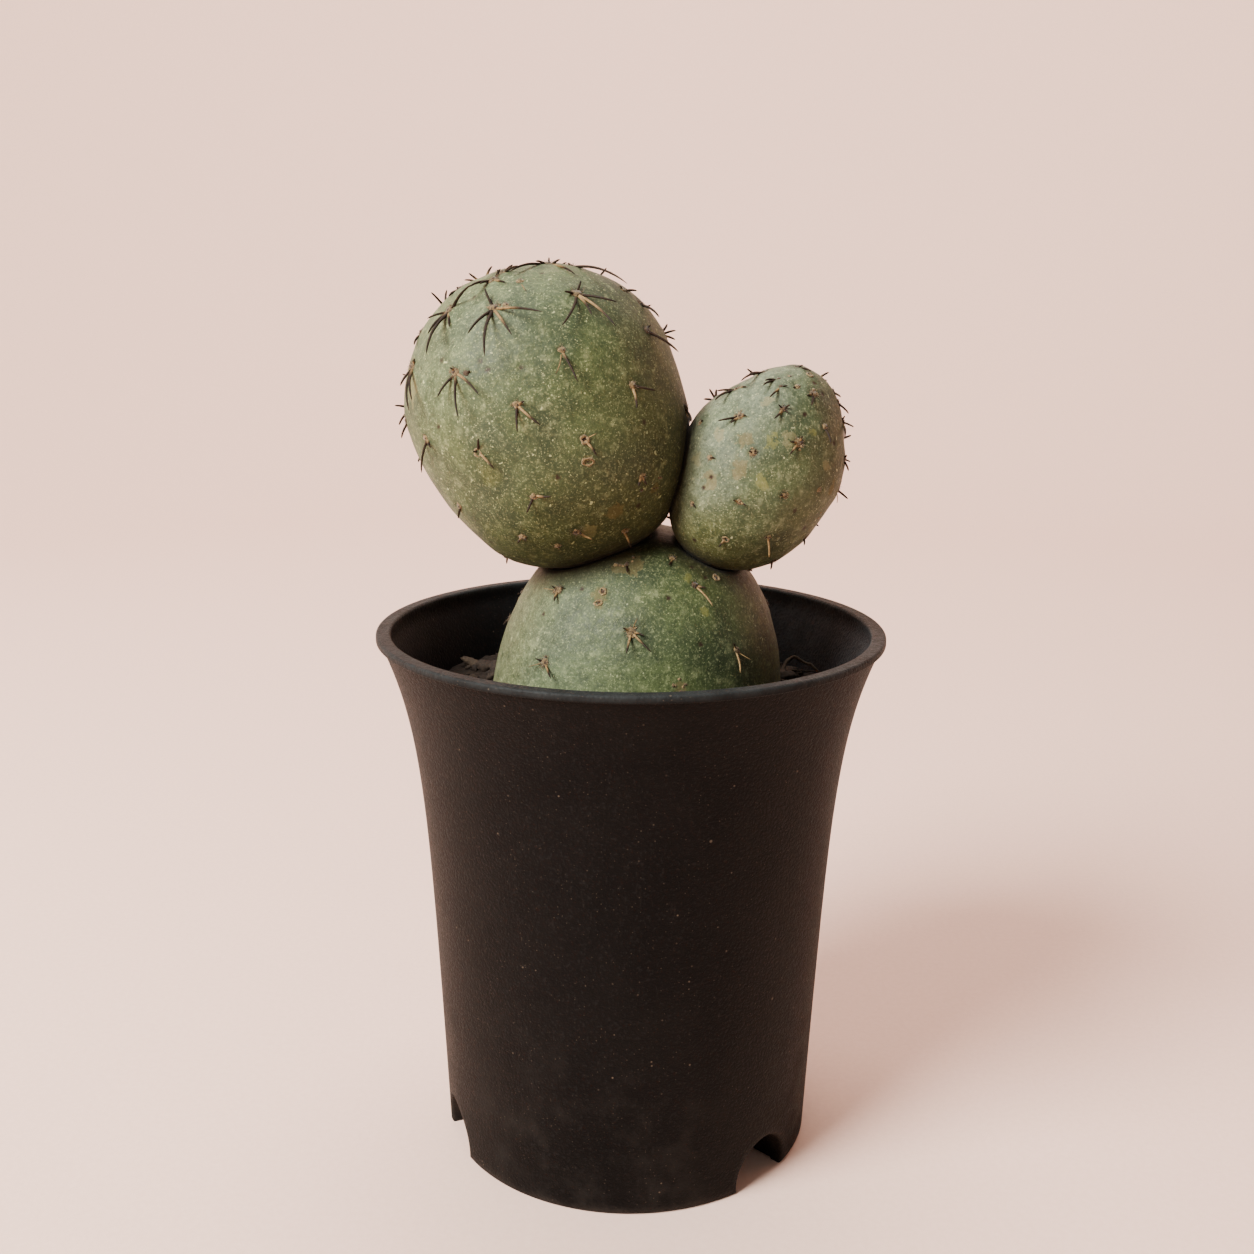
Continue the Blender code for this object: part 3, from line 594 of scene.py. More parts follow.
def hidden_areoles(name, spacing, seed):
    """Areoles on the side away from the front, spaced as the seen ones are."""
    rng = np.random.default_rng(seed)
    found = [(turn, polar, "tuft", (count, long)) for turn, polar, count, long in BEHIND[name]]
    taken = [skin_place(name, row[0], row[1])[0] for row in SEEN[name] + tuple(found)]
    others = [JOINTS[n] for n in JOINTS if n != name]
    limit = 62 if name == "base_joint" else 150
    for _ in range(900):
        turn = float(rng.uniform(96, 264))
        polar = math.degrees(math.acos(float(rng.uniform(math.cos(math.radians(limit)), 0.985))))
        point, _ = skin_place(name, turn, polar)
        if any(outside(form, point[None, :])[0][0] < 2.2 for form in others):
            continue
        if min(np.linalg.norm(point - other) for other in taken) < spacing * (0.85 + 0.3 * rng.random()):
            continue
        if name == "base_joint" and point[2] < 87.0:
            continue
        taken.append(point)
        kind = ("tuft", "wool", "dark", "wool", "tuft", "ring")[int(rng.integers(6))]
        longest = 6.0 if polar < 75 else 3.6
        if name != "large_joint":
            longest *= 0.62
        count = int(rng.integers(2, 5)) if polar < 80 else int(rng.integers(1, 3))
        found.append((turn if turn <= 180 else turn - 360, polar, kind, (count, longest * float(rng.uniform(0.7, 1.0)))))
    return tuple(found)


ALL_AREOLES = {
    "large_joint": SEEN["large_joint"] + hidden_areoles("large_joint", 8.2, 11),
    "small_joint": SEEN["small_joint"] + hidden_areoles("small_joint", 6.0, 12),
    "base_joint": SEEN["base_joint"] + hidden_areoles("base_joint", 9.5, 13),
}


def joint_mesh(name, level, seed):
    form = JOINTS[name]
    ball, faces = globe(level)
    polar = np.arccos(np.clip(ball[:, 2], -1, 1))
    turn = np.arctan2(ball[:, 0], -ball[:, 1])
    points = to_world(form, joint_surface(form, polar, turn))
    normals = point_normals(points, faces)
    plain = points.copy()
    height = 0.16 * lumps(plain, 11.0, seed) + 0.07 * lumps(plain, 4.2, seed + 1) + 0.022 * lumps(plain, 1.5, seed + 2, 2)
    if name == "small_joint":
        height += 0.17 * lumps(plain, 3.4, seed + 5, 2) * smoothstep(110, 40, np.degrees(polar))
    painted_areole_shade = np.zeros(len(points))
    for (row, (spot, normal)) in zip(ALL_AREOLES[name], areole_places(name)):
        near = np.linalg.norm(plain - spot, axis=1)
        strong = {"tuft": 1.0, "dark": 0.8, "wool": 0.65, "ring": 0.5, "scar": 0.45, "scab": 0.3}[row[2]]
        wide = 2.6 if name == "large_joint" else 1.9
        rise = (0.34 if name == "small_joint" else 0.26) * strong
        height += rise * np.exp(-(near / wide) ** 2) - 1.25 * rise * np.exp(-(near / 0.85) ** 2)
        # the skin sags a little below each areole
        below = np.linalg.norm(plain - spot - np.array((0.0, 0.0, 1.9)), axis=1)
        height -= 0.10 * strong * np.exp(-(below / 1.6) ** 2)
        # painted shade: darker skin round each areole, strongest at tufts
        painted_areole_shade = np.maximum(painted_areole_shade, strong * np.exp(-(near / 1.35) ** 2))
    speck = np.zeros(len(points))
    for turn_at, polar_at in SPECKS[name]:
        spot, _ = skin_place(name, turn_at, polar_at)
        near = np.linalg.norm(plain - spot, axis=1)
        height -= 0.12 * np.exp(-(near / 0.4) ** 2)
        speck = np.maximum(speck, smoothstep(0.55, 0.25, near))
    stain = {key: np.zeros(len(points)) for key in ("tan", "yellow", "cork", "lime")}
    for turn_at, polar_at, size, kind in STAINS[name]:
        spot, _ = skin_place(name, turn_at, polar_at)
        off = plain - spot
        near = np.linalg.norm(off * np.array((1.0, 1.0, 0.85)), axis=1) / size
        stain[kind] = np.maximum(stain[kind], smoothstep(1.25, 0.35, near + 0.28 * lumps(plain, 1.1, seed + 9)))
        height += (0.05 if kind == "cork" else 0.0) * np.exp(-near ** 2)
    points = plain + normals * height[:, None]
    contact = np.full(len(points), 9.0)
    partners = {"base_joint": ("large_joint", "small_joint"), "large_joint": ("small_joint",), "small_joint": ()}[name]
    for other in partners:
        points, distance = press(points, JOINTS[other], 0.12, 0.5)
        contact = np.minimum(contact, distance)
    for other in [n for n in JOINTS if n != name and n not in partners]:
        contact = np.minimum(contact, outside(JOINTS[other], points)[0])
    n, c = normals, np.array(form["centre"])
    local = to_local(form, plain)
    low = np.clip(-(local[:, 2] / form["down"]), -1, 1)
    # the pale bloom is made heavier where the skin faces the key lamp, up and to the left: partly real wax bloom,
    # partly a painted highlight
    facing_key_light = -n[:, 0] * 0.62 + n[:, 2] * 0.62 - n[:, 1] * 0.30
    # darker olive towards the right, and low down on the large and small joints, away from the key lamp: partly the
    # skin's own tone, partly painted shade
    noise = lumps(plain, 7.0, seed + 20, 2)
    # the warm brown is painted bounce light, on the side facing +X and, on the base joint, on both sides
    if name == "large_joint":
        bloom_and_highlight = 0.10 + 0.52 * smoothstep(0.15, 1.0, -0.72 * n[:, 0] + 0.46 * n[:, 2] - 0.10 * n[:, 1] + 0.16 * noise)
        olive_and_shade = 0.85 * smoothstep(0.05, 0.85, low * 0.75 + n[:, 0] * 0.42 + 0.10 * noise)
        lime = 0.45 * smoothstep(0.78, 1.0, low + 0.1 * noise)
        warm_bounce = 0.34 * smoothstep(0.45, 0.95, n[:, 0] + 0.1 * noise) * smoothstep(0.5, -0.2, low)
    elif name == "small_joint":
        bloom_and_highlight = 0.14 + 0.66 * smoothstep(0.25, 0.98, facing_key_light + 0.15 * noise)
        olive_and_shade = 0.55 * smoothstep(0.2, 0.95, low * 0.8 + n[:, 0] * 0.3 + 0.12 * noise)
        lime = 0.85 * smoothstep(0.25, 0.95, low * 0.75 - n[:, 0] * 0.55 + 0.1 * noise)
        warm_bounce = 0.42 * smoothstep(0.35, 0.95, n[:, 0] + 0.12 * noise)
    else:
        bloom_and_highlight = 0.04 + 0.46 * smoothstep(0.15, 0.95, -0.85 * n[:, 0] + 0.15 * n[:, 2] - 0.15 * n[:, 1] + 0.10 * noise)
        olive_and_shade = 0.35 * smoothstep(0.3, 0.9, n[:, 0] * 0.6 + n[:, 2] * 0.4 + 0.1 * noise)
        lime = 0.25 * smoothstep(0.2, 0.8, noise)
        warm_bounce = 0.45 * smoothstep(0.55, 0.98, np.abs(n[:, 0]) + 0.08 * noise)
    lime = np.maximum(lime, 0.7 * stain.pop("lime"))
    # painted shade: darker olive close to where the joints touch
    olive_and_shade = np.maximum(olive_and_shade, 0.85 * smoothstep(5.5, 0.8, contact))
    # painted shade: near-black in the creases where the joints touch, fading out over a few millimetres
    painted_crease_shade = np.maximum(0.97 * smoothstep(1.7, 0.2, contact), 0.62 * smoothstep(6.5, 0.5, contact))
    if name == "base_joint":
        # the base joint is also made darker towards its bottom, near the soil
        painted_crease_shade = np.maximum(painted_crease_shade, 0.8 * smoothstep(86.2, 83.6, plain[:, 2] + 0.8 * lumps(plain, 2.0, 77, 2)))
    cover = np.concatenate([points])
    made = piece(name + "_skin", cover, faces, [skin_material(name, seed)], {
        "bloom_and_highlight": bloom_and_highlight, "olive_and_shade": olive_and_shade, "lime": lime, "warm_bounce": warm_bounce, "painted_areole_shade": painted_areole_shade, "speck": speck,
        "painted_crease_shade": painted_crease_shade, **stain})
    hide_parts(name)
    return made


# ------------------------------------------------------------------ spines and wool
def spine_material():
    made, tree, shader = new_material("spine_horn")
    tone, along = painted(tree, "tone"), painted(tree, "along")
    where = place(tree)
    streak = cloud(tree, where, 0.35, 3.0, 0.6)
    tan = mix(tree, span(tree, streak, 0.3, 0.7), (0.110, 0.062, 0.024), (0.265, 0.175, 0.074))
    dark = mix(tree, span(tree, streak, 0.3, 0.7), (0.0055, 0.0032, 0.0018), (0.024, 0.012, 0.005))
    # tone 0 is straw all along, 1 is dark all along, and between them the tip darkens first
    edge = calc(tree, "ADD", along, calc(tree, "MULTIPLY", calc(tree, "SUBTRACT", streak, 0.5), 0.35))
    start = calc(tree, "SUBTRACT", 1.12, calc(tree, "MULTIPLY", tone, 1.35))
    shade = span(tree, calc(tree, "SUBTRACT", edge, start), -0.12, 0.22)
    tree.links.new(mix(tree, shade, tan, dark), shader.inputs["Base Color"])
    tree.links.new(span(tree, streak, 0.2, 0.8, 0.52, 0.76), shader.inputs["Roughness"])
    tree.links.new(bump(tree, streak, 0.03, 0.5), shader.inputs["Normal"])
    set_constants(shader, Specular_IOR_Level=0.18)
    return made


def wool_material():
    made, tree, shader = new_material("areole_wool")
    tone, along = painted(tree, "tone"), painted(tree, "along")
    where = place(tree)
    fuzz = cloud(tree, where, 0.25, 4.0, 0.7)
    pale = mix(tree, span(tree, fuzz, 0.3, 0.7), (0.055, 0.029, 0.009), (0.340, 0.240, 0.105))
    dark = mix(tree, span(tree, fuzz, 0.3, 0.7), (0.009, 0.005, 0.003), (0.050, 0.026, 0.012))
    colour = mix(tree, tone, pale, dark)
    colour = mix(tree, span(tree, along, 0.55, 1.0, 0.0, 0.26), colour, (0.36, 0.26, 0.13))
    tree.links.new(colour, shader.inputs["Base Color"])
    tree.links.new(span(tree, fuzz, 0.2, 0.8, 0.75, 0.95), shader.inputs["Roughness"])
    tree.links.new(bump(tree, fuzz, 0.06, 0.8), shader.inputs["Normal"])
    set_constants(shader, Sheen_Weight=0.25, Sheen_Roughness=0.5, Specular_IOR_Level=0.2)
    return made


BALL = globe(3)
PEBBLE = globe(2)


def frame_of(normal):
    """Right, up and out axes on the skin; up is as near to +Z as it can be."""
    guide = np.array((0.0, 0.0, 1.0)) if abs(normal[2]) < 0.95 else np.array((0.0, 1.0, 0.0))
    right = unit(np.cross(guide, normal))
    return right, np.cross(normal, right), normal


def lump(soup, spot, axes, radii, tone, slot, rng, rough=0.22, sink=0.0, ball=BALL):
    right, up, out = axes
    body = ball[0].copy()
    seed = int(rng.integers(1, 10 ** 6))
    body *= (1 + rough * lumps(body + 5.0, 0.55, seed, 2))[:, None]
    local = body * np.array(radii)
    points = spot + local[:, :1] * right + local[:, 1:2] * up + (local[:, 2:3] - sink) * out
    soup.add(points, ball[1].tolist(), tone, np.clip(0.5 * body[:, 2], 0, 1), slot)


def ring_of(soup, spot, axes, radius, thick, tone, rng, squash=0.8):
    """A lumpy corky ring round a dark hole."""
    right, up, out = axes
    around, sides = 20, 8
    a = np.linspace(0, 2 * math.pi, around, endpoint=False)
    b = np.linspace(0, 2 * math.pi, sides, endpoint=False)
    wob = 1 + 0.16 * np.sin(a * 2 + rng.uniform(0, 6)) + 0.09 * np.sin(a * 5 + rng.uniform(0, 6))
    tube = thick * (1 + 0.28 * np.sin(a * 3 + rng.uniform(0, 6)) + 0.15 * np.sin(a * 7 + rng.uniform(0, 6)))
    r = radius * wob[:, None] + tube[:, None] * np.cos(b)[None, :]
    h = 0.75 * tube[:, None] * np.sin(b)[None, :]
    x, y = r * np.cos(a)[:, None], r * squash * np.sin(a)[:, None]
    points = spot + x[..., None] * right + y[..., None] * up + (h[..., None] + 0.08) * out
    faces = [(i * sides + j, ((i + 1) % around) * sides + j, ((i + 1) % around) * sides + (j + 1) % sides,
              i * sides + (j + 1) % sides) for i in range(around) for j in range(sides)]
    soup.add(points.reshape(-1, 3), faces, tone, 0.55, 1)


def hairs(soup, spot, axes, count, spread, reach, tone, rng, thick=0.035):
    right, up, out = axes
    for _ in range(count):
        turn, tilt = rng.uniform(0, 2 * math.pi), rng.uniform(0.15, 1.25)
        off = spread * math.sqrt(rng.random())
        foot = spot + off * (math.cos(turn) * right + math.sin(turn) * up) + 0.05 * out
        lean = turn + rng.normal(0, 0.7)
        away = math.sin(tilt) * (math.cos(lean) * right + math.sin(lean) * up) + math.cos(tilt) * out
        long = reach * rng.uniform(0.45, 1.0)
        curl = rng.normal(0, 0.35) * long * unit(np.cross(away, out) + 1e-6)
        t = np.linspace(0, 1, 4)[:, None]
        path = foot + away * long * t + curl * t * t - 0.25 * long * out * t * t
        taper_tube(soup, path, thick * (1.0 - 0.8 * t[:, 0]), 3, float(np.clip(tone + rng.normal(0, 0.2), 0, 1)), 1)


TONES = {"k": 1.0, "b": 0.80, "t": 0.50, "p": 0.12, "f": 0.25}
WEIGHTS = {"k": 0.255, "b": 0.225, "t": 0.245, "p": 0.205, "f": 0.065}


def add_spine(soup, spot, axes, tip, tone, weight, rng, bow=0.10):
    right, up, out = axes
    run = tip - spot
    long = float(np.linalg.norm(run))
    if long < 0.3:
        return
    rings = 6 if long < 2 else 11
    t = np.linspace(0, 1, rings)[:, None]
    side = unit(np.cross(run, out))
    bend = (out * bow * long + side * rng.normal(0, 0.035) * long)
    path = spot - 0.25 * out + (run + 0.25 * out) * t + bend * (4 * t * (1 - t)) * 0.75
    # a swollen foot, a long even shaft, and a sharp tip
    s = t[:, 0]
    thick = weight * (1.0 + 0.50 * np.exp(-(s / 0.08) ** 2)) * (1 - 0.38 * s) * np.sqrt(np.maximum(1 - s ** 7, 0.0)) + 0.03
    thick *= 1 + 0.05 * np.sin(s * 21 + rng.uniform(0, 6))
    taper_tube(soup, path, thick, 7, float(np.clip(tone + rng.normal(0, 0.05), 0, 1)), 0, flat=0.86)


def seen_tip(spot, normal, across, up, lift):
    """The tip that looks (across, up) from its areole from the front, and stands off the skin by a share of its length."""
    toward = unit(VIEWER - spot)
    scale = float(np.linalg.norm(VIEWER - spot)) * 0.985 / VIEW_FOCAL
    rise = np.array((0.0, math.sin(VIEW_PITCH), math.cos(VIEW_PITCH)))
    flat = across * scale * np.array((1.0, 0.0, 0.0)) + up * scale * rise
    long = float(np.linalg.norm(flat))
    facing = max(float(normal @ toward), 0.22)
    push = (lift * long + 0.35 - float(normal @ flat)) / facing
    push = max(-0.55 * long, min(1.15 * long, push))
    return spot + flat + push * toward


def areole(soup, name, row, rng):
    turn, polar, kind, spines = row
    spot, normal = skin_place(name, turn, polar)
    axes = frame_of(normal)
    small = 0.80 if name == "small_joint" else (0.92 if name == "base_joint" else 1.0)
    sunk = spot - 0.10 * normal
    if kind == "tuft":
        lump(soup, sunk, axes, (0.95 * small, 0.80 * small, 0.44 * small), 0.55, 1, rng, 0.36)
        for _ in range(5):
            off = rng.normal(0, 0.55 * small, 2)
            lump(soup, sunk + off[0] * axes[0] + off[1] * axes[1], axes,
                 (0.34 * small, 0.30 * small, 0.42 * small), float(rng.uniform(0.0, 0.9)), 1, rng, 0.3, ball=PEBBLE)
        hairs(soup, sunk, axes, 50, 0.95 * small, 1.20 * small, 0.25, rng, 0.040)
        # dark hairs and a dark lump in the middle: dark wool, partly standing in for the shade deep in the tuft
        hairs(soup, sunk, axes, 18, 0.60 * small, 1.1 * small, 0.95, rng, 0.046)
        lump(soup, sunk + 0.30 * small * axes[2] + rng.normal(0, 0.2) * axes[0], axes,
             (0.40 * small, 0.34 * small, 0.22 * small), 1.0, 1, rng, 0.3, ball=PEBBLE)
    elif kind == "wool":
        lump(soup, sunk, axes, (0.68 * small, 0.60 * small, 0.40 * small), 0.35, 1, rng, 0.34)
        lump(soup, sunk + 0.18 * axes[0], axes, (0.26, 0.24, 0.50 * small), 1.0, 1, rng, 0.2, ball=PEBBLE)
        hairs(soup, sunk, axes, 32, 0.62 * small, 0.85 * small, 0.2, rng, 0.034)
    elif kind == "dark":
        lump(soup, sunk, axes, (0.70 * small, 0.62 * small, 0.44 * small), 0.92, 1, rng, 0.34)
        hairs(soup, sunk, axes, 26, 0.6 * small, 1.0 * small, 0.85, rng, 0.040)
        hairs(soup, sunk, axes, 10, 0.7 * small, 0.7 * small, 0.2, rng, 0.034)
    elif kind in ("ring", "scar"):
        big = 0.62 if kind == "ring" else 0.74
        ring_of(soup, spot - 0.02 * normal, axes, big * small, 0.21 * small, 0.28, rng, 0.88)
        lump(soup, sunk, axes, (0.42 * small, 0.40 * small, 0.16), 1.0, 1, rng, 0.2, ball=PEBBLE)
        if kind == "ring":
            hairs(soup, sunk, axes, 9, 0.7 * small, 0.6 * small, 0.3, rng, 0.032)
    elif kind == "scab":
        for _ in range(7):
            off = rng.normal(0, 0.75 * small, 2)
            lump(soup, sunk + off[0] * axes[0] + off[1] * axes[1], axes,
                 (rng.uniform(0.2, 0.5), rng.uniform(0.15, 0.4), rng.uniform(0.12, 0.24)),
                 float(rng.uniform(0.2, 1.0)), 1, rng, 0.35, ball=PEBBLE)
    if spines and isinstance(spines[0], tuple):
        for across, up, tone in spines:
            lift = 0.28 if math.hypot(across, up) > 9 else 0.50
            root = spot + 0.32 * small * unit(axes[0] * across + axes[1] * up) * min(1.0, math.hypot(across, up) / 12)
            tip = seen_tip(spot, normal, across, up, lift)
            # no tip runs into the skin
            gap = float(outside(JOINTS[name], tip[None, :])[0][0])
            tip = tip + max(0.0, 0.45 - gap) * normal
            weight = WEIGHTS[tone] * (1.0 if math.hypot(across, up) > 9 else 0.8) * (1.0 if name == "large_joint" else 0.86)
            add_spine(soup, root, axes, tip, TONES[tone], weight, rng)
    elif spines:
        count, longest = spines
        right, up, out = axes
        first = rng.uniform(0, 2 * math.pi)
        for i in range(count):
            a = -math.pi / 2 + (i - (count - 1) / 2) * math.radians(205.0) / max(count - 1, 1) + rng.normal(0, 0.2)
            if count == 1:
                a = -math.pi / 2 + rng.normal(0, 0.5)
            long = longest * rng.uniform(0.6, 1.0)
            away = math.cos(0.62) * (math.cos(a) * right + math.sin(a) * up) + math.sin(0.62) * out
            tone = ("k", "b", "t", "b")[int(rng.integers(4))]
            add_spine(soup, spot + 0.25 * (math.cos(a) * right + math.sin(a) * up), axes, spot + away * long,
                      TONES[tone], WEIGHTS[tone], rng)


def build_spines():
    horn, wool = spine_material(), wool_material()
    rng = np.random.default_rng(2024)
    for name in ("large_joint", "small_joint", "base_joint"):
        short = name.split("_")[0]
        rows = list(ALL_AREOLES[name])
        spots = [skin_place(name, row[0], row[1])[0] for row in rows]
        nodes = sorted(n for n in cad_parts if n.startswith(f"spines_{short}_"))
        free = [i for i, row in enumerate(rows) if row[2] in ("tuft", "wool", "dark", "ring")]
        made = {}
        for cad in nodes:
            low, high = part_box(cad)
            middle = np.array((low + high) / 2) / MM
            nearest = min(free, key=lambda i: float(np.linalg.norm(spots[i] - middle)))
            free.remove(nearest)
            made[nearest] = cad
        rest = Soup()
        for i, row in enumerate(rows):
            if i in made:
                own = Soup()
                areole(own, name, row, rng)
                done = own.make(made[i].replace("spines", "areole"), [horn, wool])
                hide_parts(made[i])
            else:
                areole(rest, name, row, rng)
        done = rest.make(f"small_areoles_{short}", [horn, wool])


# ------------------------------------------------------------------ pot
POT_HEIGHT, RIM_RADIUS, LIP_WIDTH, LIP_EDGE = 96.0, 45.0, 2.6, 1.1
FOOT_RADIUS, WALL_SLOPE, FLARE, FLARE_LENGTH, WALL = 33.87, 0.0441, 7.29, 13.77, 1.8
SKIRT, FOOT_WIDTH, RING, PLATE_UNDER, PLATE_TOP = 2.6, 8.2, 1.8, 9.0, 11.0
ARCH_ANGLES, ARCH_HALF_WIDTH, ARCH_HEIGHT, ARCH_CENTRE, ARCH_WALL = (45.8, -68.2, 168.8), 6.15, 8.6, 1.5, 1.6
DRAIN_RADIUS, DRAIN_CIRCLE, DRAIN_COUNT = 3.0, 15.0, 6
SOIL_LEVEL, SOIL_CROWN, GAP = 83.2, 0.9, 0.3


def wall_radius(height):
    return FOOT_RADIUS + WALL_SLOPE * height + FLARE * np.exp((height - POT_HEIGHT) / FLARE_LENGTH)


def inner_radius(height):
    return wall_radius(height) - WALL


def arc(centre, radius, start, end, count):
    """Points of an arc in (radius, height)."""
    turns = np.radians(np.linspace(start, end, count))
    return [(centre[0] + radius * math.cos(a), centre[1] + radius * math.sin(a)) for a in turns]


def pot_profile():
    top = POT_HEIGHT
    foot_in = FOOT_RADIUS - FOOT_WIDTH
    inside = [(0.0, PLATE_TOP), (inner_radius(PLATE_TOP) - 1.2, PLATE_TOP),
              (inner_radius(11.5) - 0.35, PLATE_TOP + 0.35)]
    for height in list(np.linspace(12.2, 72, 22)) + list(np.linspace(74, top - 1.0, 18)):
        inside.append((min(float(inner_radius(height)), RIM_RADIUS - LIP_WIDTH), float(height)))
    lip = arc((RIM_RADIUS - LIP_WIDTH + 0.5, top - 0.5), 0.5, 175, 90, 5)
    lip += [(RIM_RADIUS - 1.5, top - 0.015), (RIM_RADIUS - 0.9, top - 0.01)]
    lip += arc((RIM_RADIUS - 0.45, top - 0.45), 0.45, 90, 0, 6)
    lip += [(RIM_RADIUS, top - 0.8)] + arc((RIM_RADIUS - 0.22, top - LIP_EDGE + 0.05), 0.22, 0, -80, 4)
    outside_wall = []
    high = top - LIP_EDGE - 0.35
    for height in list(np.linspace(high, 70, 22)) + list(np.linspace(68, 12, 28)) + list(np.linspace(10.5, 0.6, 11)):
        under = 0.45 * math.exp((height - high) / 4.0)
        outside_wall.append((float(wall_radius(height)) - under, float(height)))
    skirt_in = FOOT_RADIUS - SKIRT
    foot = arc((float(wall_radius(0.0)) - 0.62, 0.5), 0.5, -15, -90, 5)
    foot += [(skirt_in + 0.35, 0.0), (skirt_in, 0.35), (float(inner_radius(6.0)), 6.0),
             (float(inner_radius(6.0)), PLATE_UNDER), (foot_in + RING, PLATE_UNDER),
             (foot_in + RING, 0.3), (foot_in + RING - 0.3, 0.0), (foot_in + 0.3, 0.0), (foot_in, 0.3),
             (foot_in, PLATE_UNDER - 0.6), (foot_in - 0.6, PLATE_UNDER), (0.0, PLATE_UNDER)]
    return inside + lip + outside_wall + foot


def turned(profile, steps):
    """A closed surface turned from a profile whose ends lie on the axis."""
    rows = profile[1:-1]
    turn = np.linspace(0, 2 * math.pi, steps, endpoint=False)
    points = [np.stack([r * np.sin(turn), -r * np.cos(turn), np.full(steps, h)], -1) for r, h in rows]
    points = np.concatenate(points + [np.array([[0, 0, profile[0][1]], [0, 0, profile[-1][1]]])])
    count = len(rows)
    faces = []
    for i in range(count - 1):
        for j in range(steps):
            k = (j + 1) % steps
            faces.append((i * steps + j, i * steps + k, (i + 1) * steps + k, (i + 1) * steps + j))
    first, last = count * steps, count * steps + 1
    for j in range(steps):
        k = (j + 1) % steps
        faces.append((first, k, j))
        faces.append((last, (count - 1) * steps + j, (count - 1) * steps + k))
    return points, faces


def helper_mesh(name, points, faces):
    mesh = bpy.data.meshes.new(name)
    mesh.from_pydata((np.asarray(points) * MM).tolist(), [], [list(f) for f in faces])
    bm = bmesh.new()
    bm.from_mesh(mesh)
    bmesh.ops.recalc_face_normals(bm, faces=bm.faces)
    bm.to_mesh(mesh)
    bm.free()
    made = bpy.data.objects.new(name, mesh)
    bpy.context.scene.collection.objects.link(made)
    return made


def arch_body(name, angle, rings, floor=None):
    """An arched passage along a radius, ring by ring: how far out it lies, how much it has grown, and whether that follows the curved wall."""
    count = 44
    a = np.linspace(0, 2 * math.pi, count, endpoint=False)
    turn = math.radians(angle)
    out = np.array((math.sin(turn), -math.cos(turn), 0.0))
    side = np.array((math.cos(turn), math.sin(turn), 0.0))
    loops = []
    for reach, grow, follow in rings:
        x = (ARCH_HALF_WIDTH + grow) * np.sin(a)
        z = ARCH_CENTRE + (ARCH_HEIGHT - ARCH_CENTRE + grow) * np.cos(a)
        if floor is not None:
            z = np.maximum(z, floor)
        if follow:
            wall = wall_radius(np.maximum(z, 0.0))
            r = np.sqrt(np.maximum(wall ** 2 - x ** 2, 1.0)) + reach
        else:
            r = np.full(count, float(reach))
        loops.append(r[:, None] * out + x[:, None] * side + z[:, None] * np.array((0, 0, 1.0)))
    points = np.concatenate(loops + [loops[0].mean(0, keepdims=True), loops[-1].mean(0, keepdims=True)])
    faces = []
    for i in range(len(rings) - 1):
        for j in range(count):
            k = (j + 1) % count
            faces.append((i * count + j, i * count + k, (i + 1) * count + k, (i + 1) * count + j))
    first, last = len(rings) * count, len(rings) * count + 1
    for j in range(count):
        k = (j + 1) % count
        faces.append((first, k, j))
        faces.append((last, (len(rings) - 1) * count + j, (len(rings) - 1) * count + k))
    return helper_mesh(name, points, faces)


